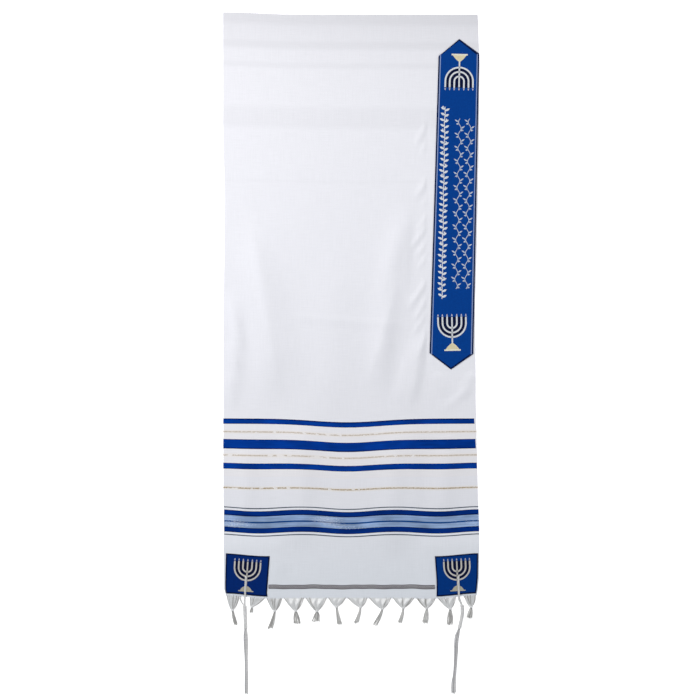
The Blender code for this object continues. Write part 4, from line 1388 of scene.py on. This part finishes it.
# %% The braid on the front leaf
braid, shade_tape = Threads(), Threads()
BRAID_UP = 0.02595
BRAID_PITCH = 0.0160
BRAID_YARN = 0.00075
BRAID_HALF, BRAID_MIDDLE_Z, BRAID_LIFT = 0.0027, 0.0013, 0.0005
TAPE_WIDTH, TAPE_HEIGHT = 0.0092, 0.0006
span = steps(across_at(268.6), across_at(434.8), 420)


def braid_spot(x):
    u = (x - side_x(-0.5, BRAID_UP)) / (side_x(0.5, BRAID_UP) - side_x(-0.5, BRAID_UP)) - 0.5
    waver = 0.0005 * math.sin(x * 61) + 0.0004 * math.sin(x * 143 + 1)
    return Vector((x, HEM_Y + BRAID_UP + wander(u, BRAID_UP) + waver))


def cloth_top(x, y):
    return dressed_under_z(x, y) + WALL + JUST_ABOVE


def braid_point(x, phase):
    spot = braid_spot(x)
    turn = 2 * math.pi * (x / BRAID_PITCH + phase)
    z = cloth_top(spot.x, spot.y) + BRAID_MIDDLE_Z + BRAID_LIFT * math.cos(2 * turn)
    return Vector((x, spot.y + BRAID_HALF * math.sin(turn), z))


# The dark tape under the strands is painted shade at the braid's edges and between its strands.
add_pad(shade_tape, [braid_spot(x) for x in span], TAPE_WIDTH, TAPE_HEIGHT, cloth_top)
shade_tape.piece("hem_braid_shade_tape", finishes["dark_tape_thread"])
for phase in (0.0, 1 / 3, 2 / 3):
    add_yarn(braid, [braid_point(x, phase) for x in span], lambda share: BRAID_YARN, sides=5)
hem_braid = braid.piece("hem_braid", finishes["grey_braid_thread"])
print("braid faces:", len(hem_braid.data.polygons))

# %% [markdown]
# ## The knotted fringe
#
# A shawl's fringe is its own warp. The yarns leave the hem side by side, are gathered into a
# knot and hang loose below it. Each yarn here is a thin tube of its own from the hem to the
# knot, and again from the knot to its cut end, so light falls between them.

# %% The tassels, as in the solid
TasselRow = namedtuple("TasselRow", "left right knot_x knot_drop tip_x tip_drop splay")
TASSEL_ROWS = (
    TasselRow(-0.2762, -0.2459, -0.2621, 0.0313, -0.2546, 0.0647, 0.0022),
    TasselRow(-0.2236, -0.1888, -0.2194, 0.0193, -0.2212, 0.0320, 0.0024),
    TasselRow(-0.1876, -0.1513, -0.1688, 0.0272, -0.1792, 0.0680, 0.0038),
    TasselRow(-0.1501, -0.1030, -0.1226, 0.0268, -0.1196, 0.0575, 0.0064),
    TasselRow(-0.1018, -0.0525, -0.0759, 0.0276, -0.0790, 0.0520, 0.0082),
    TasselRow(-0.0513, -0.0105, -0.0324, 0.0180, -0.0256, 0.0595, 0.0040),
    TasselRow(-0.0093, 0.0368, 0.0204, 0.0190, 0.0114, 0.0565, 0.0040),
    TasselRow(0.0380, 0.0896, 0.0686, 0.0226, 0.0527, 0.0600, 0.0042),
    TasselRow(0.0908, 0.1410, 0.1150, 0.0205, 0.1077, 0.0545, 0.0035),
    TasselRow(0.1422, 0.1880, 0.1668, 0.0212, 0.1630, 0.0555, 0.0052),
    TasselRow(0.1892, 0.2320, 0.2183, 0.0235, 0.2176, 0.0604, 0.0058),
    TasselRow(0.2480, 0.2755, 0.2646, 0.0243, 0.2605, 0.0504, 0.0050),
)


def front_strip(u, up):
    x, y = side_x(u, up), HEM_Y + up + wander(u, up)
    return Vector((x, y, front_under_z(x, y)))


def under_strip(u, up):
    y = UNDER_HEM_Y + up
    return Vector((side_x(u, y - HEM_Y, UNDER_INSET), y, UNDER_LIFT_ROWS[0].height))


# %% One tassel: fan, knot and loose ends
FAN_YARN, TAIL_YARN = 0.00105, 0.0011
KNOT_SPREAD = 0.0022
KNOT_TURNS = 2.6


def knot_middle(flat):
    """A knot's height; flat is 1 in front, and less where the shawl presses it."""
    return 0.0003 + 0.0022 * flat


def add_tassel(bright, shaded, row, strip_point, flat, fan_yarns, chance):
    """A fan of yarns from the strip to the knot, the outer and some inner ones greyer with painted
    shade.
    """
    knot_z = knot_middle(flat)

    def fan_root(share):
        x = row.left + (row.right - row.left) * share
        u = x / CLOTH_WIDTH
        root = strip_point(u, 0.0)
        return Vector((x, root.y, root.z + WALL / 2))

    middle = fan_root(0.5)
    for i in range(fan_yarns):
        share = (i + 0.5) / fan_yarns
        root = fan_root(share)
        lane = 2 * share - 1
        knot = Vector((row.knot_x + lane * KNOT_SPREAD, middle.y - row.knot_drop, knot_z))
        layer = (0.0009 if i % 2 else 0.0) * flat
        path = []
        for s in steps(0, 1, 8):
            spot = (root + Vector((0, 0.0022, 0))).lerp(knot, s)
            spot.x += lane * KNOT_SPREAD * math.sin(math.pi * s) + 0.0006 * math.sin(5 * s + i)
            droop = ease(0.0, 0.35, s)
            hanging_z = root.z * (1 - droop) + (0.0011 + layer) * droop
            spot.z = hanging_z * (1 - s) + (knot_z + layer) * s
            path.append(spot)
        at_side = i in (0, fan_yarns - 1)
        threads = shaded if at_side or chance.random() < 0.10 else bright
        add_yarn(threads, path, lambda s: FAN_YARN * (1 - 0.25 * s) * flat**0.5, sides=5)
    return middle


def add_knot(threads, x, y, z, radius, flat):
    """Close turns of yarn round the gathered strands."""
    path = []
    for s in steps(0, 1, 30):
        turn = 2 * math.pi * KNOT_TURNS * s
        wide = radius * (0.75 + 0.35 * math.sin(math.pi * s))
        across, up = wide * math.cos(turn), wide * math.sin(turn) * flat
        path.append(Vector((x + across, y + radius * 0.9 * (0.5 - s) * 1.5, z + up)))
    add_yarn(threads, path, lambda s: radius * 0.36 * flat**0.5, sides=6)


def add_tails(loose, shaded, row, middle, flat, count, chance, shade_share):
    """The loose ends, each of its own length and bend, in yarn with painted shade; a share of them in
    deeper painted shade.
    """
    knot_z = knot_middle(flat)
    for i in range(count):
        lane = 2 * i / (count - 1) - 1
        wild = chance.random()
        reach = (row.tip_drop - row.knot_drop) * (1 - 0.14 * chance.random())
        swing = row.splay * 0.25 * math.sin(wild * 9)
        path = []
        for s in steps(0, 1, 8):
            x = row.knot_x + (row.tip_x - row.knot_x) * s**1.3
            x += lane * (0.0009 + row.splay * s**0.8) + swing * math.sin(math.pi * s)
            rest = 0.0014 + 0.0010 * (i % 3) * (1 - 0.5 * s)
            z = knot_z * (1 - ease(0, 0.3, s)) + rest * flat * ease(0, 0.3, s)
            path.append(Vector((x, middle.y - row.knot_drop - reach * s, z)))
        threads = shaded if chance.random() < shade_share else loose
        add_yarn(threads, path, lambda s: TAIL_YARN * flat**0.5 * (1 - 0.35 * s**6), sides=5)


# %% The two fringes
SHADE_SHARES = (1.0, 0.4, 0.7, 0.6, 0.3, 0.3, 0.3, 0.2, 0.1, 0.2, 0.3, 0.2)


def make_fringe(name, strip_point, flat, fan_yarns, tail_yarns, node):
    """A whole fringe: its fans and knots, its loose ends, and the yarns that lie in shade."""
    fans, ends, shaded = Threads(), Threads(), Threads()
    chance = random.Random(name)
    for row, shade_share in zip(TASSEL_ROWS, SHADE_SHARES):
        middle = add_tassel(fans, shaded, row, strip_point, flat, fan_yarns, chance)
        spot_y = middle.y - row.knot_drop
        add_knot(fans, row.knot_x, spot_y, 0.0038 * flat - 0.0001, 0.0027, flat)
        add_tails(ends, shaded, row, middle, flat, tail_yarns, chance, shade_share)
    made = [fans.piece(name, finishes["white_yarn"])]
    made.append(ends.piece(name + "_ends", finishes["loose_yarn"]))
    made.append(shaded.piece(name + "_shaded", finishes["shaded_yarn"]))
    for piece in made:
        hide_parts(node)
    return made


front_fringe = make_fringe("front_fringe", front_strip, 1.0, 18, 13, "hem_fringe_front")
under_fringe = make_fringe("under_fringe", under_strip, 0.42, 14, 7, "hem_fringe_under")
for piece in front_fringe + under_fringe:
    print(piece.name, "faces:", len(piece.data.polygons))


# %% The hem's last strip, which carries the yarns
def strip_flat(u, up):
    return (u * CLOTH_WIDTH, up)


for name, strip_point in (("front_hem_strip", front_strip), ("under_hem_strip", under_strip)):
    stops = (steps(-0.5, 0.5, 110), steps(0.0, STRIP_WIDTH + 0.0002, 2))
    strip = woven_grid(name, *stops, strip_point, strip_flat)
    give_wall(strip, WALL)
    strip.data.materials.append(cloth_finish)
    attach(strip, "root")

# %% [markdown]
# ## The tzitzit
#
# Four strings pass through each eyelet of a real shawl and are doubled, so eight hang down. Two of
# them are made in the loop, and all eight below. They are tied in a double knot, wound round for a
# hand's breadth, tied again and left loose. Each string is a two-ply twisted yarn, so its outline
# has two lobes that turn along its length.

# %% The lines that the strings hang in
HangRow = namedtuple("HangRow", "x drop")
LEFT_HANG = (
    HangRow(-0.2352, 0.0180),
    HangRow(-0.2338, 0.0480),
    HangRow(-0.2330, 0.0810),
    HangRow(-0.2322, 0.1140),
    HangRow(-0.2318, 0.1580),
    HangRow(-0.2312, 0.2108),
)
RIGHT_HANG = (
    HangRow(0.2440, 0.0160),
    HangRow(0.2462, 0.0300),
    HangRow(0.2392, 0.0620),
    HangRow(0.2322, 0.0880),
    HangRow(0.2304, 0.1300),
    HangRow(0.2290, 0.1640),
    HangRow(0.2254, 0.1880),
    HangRow(0.2262, 0.2108),
)
LEFT_EYELET_X = -0.2325
RIGHT_EYELET_X = 0.2364
EYELET_UP = 0.0494
EYELET_RADIUS = 0.0030
SECOND_KNOT_DROP = 0.0640
SHANK_Z = 0.0040
SHANK_CORE, SHANK_TURNS = 0.0034, 19
COIL_ACROSS, COIL_UP = 0.0036, 0.0026
LOOP_STRING, WINDING, LOOSE_STRING = 0.00105, 0.0011, 0.00092
STRING_PITCH = 0.00195
LOW_STRING_Z, STRING_LAYER = 0.00125, 0.0017
LEFT_BACK_ASIDE = -0.0105
RIGHT_BACK_ASIDE = 0.0020
LEFT_STRAIGHT_UP = 0.0494
RIGHT_STRAIGHT_UP = 0.0030


def hang_x(rows, drop):
    """X of a tzitzit's line at a distance below the hem, with its bends rounded."""
    near = [drop + offset for offset in (-0.010, -0.005, 0.0, 0.005, 0.010)]
    return sum(read(rows, "drop", "x", at) for at in near) / len(near)


# %% The eyelets, cut through the cloth and its patch
for row, eyelet_x in zip(PATCH_ROWS, (LEFT_EYELET_X, RIGHT_EYELET_X)):
    bpy.ops.object.select_all(action="DESELECT")
    bpy.ops.mesh.primitive_cylinder_add(
        vertices=20, radius=EYELET_RADIUS, depth=0.04, location=(eyelet_x, HEM_Y + EYELET_UP, 0)
    )
    cutter = bpy.context.object
    for panel in (shawl, front_patches[row.side]):
        cut = panel.modifiers.new("eyelet", "BOOLEAN")
        cut.operation = "DIFFERENCE"
        cut.object = cutter
        apply_all(panel)
    bpy.data.objects.remove(cutter)
    print(row.word, "patch faces:", len(front_patches[row.side].data.polygons))


# %% The loop: two doubled strings through the eyelet and round the hem
def add_loop(threads, eyelet_x, rows, back_aside, straight_up):
    """Two strings down the front, and two down the back that come out aside of them."""
    knot_drop = rows[0].drop
    top_z = CORNER_LIFT + WALL + SEAM_GAP + RIBBON + SEAM_GAP + 0.0011
    low_z = CORNER_LIFT - SEAM_GAP - 0.0009
    route = (
        (-knot_drop, 0.0052, 0.0), (-0.0110, top_z * 0.92, 0.0), (-0.0020, top_z, 0.0),
        (EYELET_UP - 0.0040, top_z, 0.0), (EYELET_UP - 0.0008, top_z - 0.0004, 0.0),
        (EYELET_UP + 0.0002, top_z - 0.0022, 0.0), (EYELET_UP + 0.0002, low_z + 0.0014, 0.0),
        (EYELET_UP - 0.0008, low_z + 0.0002, 0.0), (EYELET_UP - 0.0040, low_z, 0.06),
        (0.0000, low_z, 1.0), (-0.0060, low_z + 0.0002, 0.75), (-0.0110, low_z + 0.0008, 0.45),
        (-knot_drop, 0.0030, 0.0),
    )
    for lane in (-1, 1):
        path = []
        for up, z, aside in route:
            share = ease(-knot_drop, straight_up, up)
            x = rows[0].x + (eyelet_x - rows[0].x) * share + back_aside * aside
            path.append(Vector((x + lane * LOOP_STRING, HEM_Y + up, z)))
        fine = []
        for before, after in zip(path, path[1:]):
            pieces = max(1, round((after - before).length / 0.002))
            fine += [before.lerp(after, i / pieces) for i in range(pieces)]
        add_yarn(threads, fine + [path[-1]], lambda s: LOOP_STRING, sides=8, plies=2)


# %% The wound shank between two knots
def add_shank(threads, rows):
    """A core with close turns of string round it, a double knot at its top and a single knot at its
    foot.
    """
    knot_drop = rows[0].drop
    knots = ((knot_drop, 0.0036), (knot_drop + 0.0038, 0.0034), (SECOND_KNOT_DROP, 0.0034))
    for drop, radius in knots:
        add_knot(threads, hang_x(rows, drop), HEM_Y - drop, 0.0042, radius, 0.80)
    drops = steps(knot_drop, SECOND_KNOT_DROP, 16)
    core = [Vector((hang_x(rows, drop), HEM_Y - drop, SHANK_Z)) for drop in drops]
    add_yarn(threads, core, lambda s: SHANK_CORE, sides=10)
    coil = []
    for s in steps(0, 1, 240):
        drop = knot_drop + 0.003 + (SECOND_KNOT_DROP - knot_drop - 0.005) * s
        turn = 2 * math.pi * SHANK_TURNS * s
        x = hang_x(rows, drop) + COIL_ACROSS * math.cos(turn)
        coil.append(Vector((x, HEM_Y - drop, SHANK_Z + COIL_UP * math.sin(turn))))
    add_yarn(threads, coil, lambda s: WINDING, sides=5)


# %% The eight loose strings
def add_strings(bright, shaded, rows, chance, end_spread, shade_lanes):
    """Five strings side by side and three more on them; some of them lie in shade."""
    lanes = [(lane, 0) for lane in (-2, -1, 0, 1, 2)] + [(lane, 1) for lane in (-1, 0, 1)]
    for lane, layer in lanes:
        end = rows[-1].drop - 0.004 * chance.random()
        phase = chance.random() * 6
        path = []
        for s in steps(0, 1, 60):
            drop = SECOND_KNOT_DROP + (end - SECOND_KNOT_DROP) * s
            opened = ease(0.0, 0.14, s)
            gather = 0.45 + 0.55 * opened
            closing = 1 - 0.34 * ease(0.15, 0.65, s) + end_spread * ease(0.72, 0.90, s)
            x = hang_x(rows, drop) + lane * STRING_PITCH * gather * closing
            x += 0.0003 * math.sin(9 * s + phase) * opened
            rest_z = LOW_STRING_Z + layer * STRING_LAYER
            path.append(Vector((x, HEM_Y - drop, rest_z + (SHANK_Z - rest_z) * (1 - opened))))
        threads = shaded if (lane, layer) in shade_lanes else bright
        add_yarn(threads, path, lambda s: LOOSE_STRING, sides=8, plies=2)


# %% The two tzitzit in front
def make_tzitzit(side, eyelet_x, back_aside, straight_up, rows, seed, end_spread, shade_lanes):
    """Loop, shank and loose strings on one corner."""
    bright, shaded = Threads(), Threads()
    add_loop(bright, eyelet_x, rows, back_aside, straight_up)
    add_shank(bright, rows)
    add_strings(bright, shaded, rows, random.Random(seed), end_spread, shade_lanes)
    made = [bright.piece("tzitzit_" + side, finishes["tzitzit_string"])]
    made.append(shaded.piece(f"tzitzit_{side}_shaded", finishes["shaded_string"]))
    for piece in made:
        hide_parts("tzitzit_front_" + side)
    return made


LEFT_SHADE = ((-2, 0), (-1, 1))
RIGHT_SHADE = ((-2, 0), (-1, 0), (-1, 1), (0, 1), (2, 0))
left_strings = make_tzitzit(
    "left", LEFT_EYELET_X, LEFT_BACK_ASIDE, LEFT_STRAIGHT_UP, LEFT_HANG, 3, 0.10, LEFT_SHADE
)
right_strings = make_tzitzit(
    "right", RIGHT_EYELET_X, RIGHT_BACK_ASIDE, RIGHT_STRAIGHT_UP, RIGHT_HANG, 5, 0.45, RIGHT_SHADE
)
for piece in left_strings + right_strings:
    print(piece.name, "faces:", len(piece.data.polygons))


# %% The hidden tzitzit, pressed flat between the leaves
HIDDEN_LENGTH, HIDDEN_Z = 0.2000, 0.0011
HIDDEN_STRING, HIDDEN_PITCH = 0.0008, 0.00175


def make_under_tzitzit(name, x, node):
    """Eight strings side by side with one flat knot at their top."""
    threads = Threads()
    for i in range(8):
        lane = i - 3.5
        path = []
        for s in steps(0, 1, 40):
            drop = 0.0006 + (HIDDEN_LENGTH - 0.0006) * s
            aside = lane * HIDDEN_PITCH * (0.75 + 0.25 * ease(0, 0.1, s))
            path.append(Vector((x + aside, UNDER_HEM_Y - drop, HIDDEN_Z)))
        add_yarn(threads, path, lambda s: HIDDEN_STRING, sides=6, plies=2)
    add_knot(threads, x, UNDER_HEM_Y - 0.0033, 0.0013, 0.0050, 0.16)
    made = threads.piece(name, finishes["tzitzit_string"])
    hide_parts(node)
    return made


make_under_tzitzit("tzitzit_hidden_left", -0.2326, "tzitzit_under_left")
make_under_tzitzit("tzitzit_hidden_right", 0.2412, "tzitzit_under_right")
print("hidden strings made")

# %% [markdown]
# ## Floor and light
#
# The photograph is a cut-out on white with soft light from above the fold end. The floor is white
# and gives off a little light of its own, so that it stays white round the shawl, and one large
# soft lamp stands low beyond the fold, so that the folds shade gently and the hem end is dimmer.

# %% The floor
FLOOR_SIZE = 60
bpy.ops.object.select_all(action="DESELECT")
bpy.ops.mesh.primitive_plane_add(size=FLOOR_SIZE, location=(0, 0, -0.0005))
floor = bpy.context.object
floor.name = "floor"
floor_finish, tree, shader = new_finish("studio_floor", 0.9, specular=0.1)
shader.inputs["Base Color"].default_value = (0.9, 0.9, 0.9, 1)
shader.inputs["Emission Color"].default_value = (1, 1, 1, 1)
shader.inputs["Emission Strength"].default_value = 0.7
floor.data.materials.append(floor_finish)
print("floor placed")


# %% The lights
def soft_light(name, place, aim, size, power):
    """A square area light that looks at a point."""
    data = bpy.data.lights.new(name, "AREA")
    data.size = size
    data.energy = power
    light = bpy.data.objects.new(name, data)
    light.location = place
    light.rotation_euler = (Vector(aim) - Vector(place)).to_track_quat("-Z", "Y").to_euler()
    scene.collection.objects.link(light)
    return light


WARM, COOL = (1.0, 0.985, 0.97), (0.95, 0.98, 1.0)
MIDDLE, LIGHT_SIZE = (0.0, 0.1, 0.0), 0.8
for name, spot, power, colour in (
    ("key", (-0.9, 1.6, 1.8), 29.0, WARM),
    ("left fill", (-1.1, 0.1, 1.0), 7.4, COOL),
    ("right fill", (1.1, 0.1, 1.0), 6.0, COOL),
):
    soft_light(name, spot, MIDDLE, LIGHT_SIZE, power).data.color = colour
world = bpy.data.worlds.new("studio")
world.use_nodes = True
world.node_tree.nodes["Background"].inputs["Color"].default_value = (0.94, 0.98, 1.0, 1)
world.node_tree.nodes["Background"].inputs["Strength"].default_value = 0.25
scene.world = world
print("lights placed")
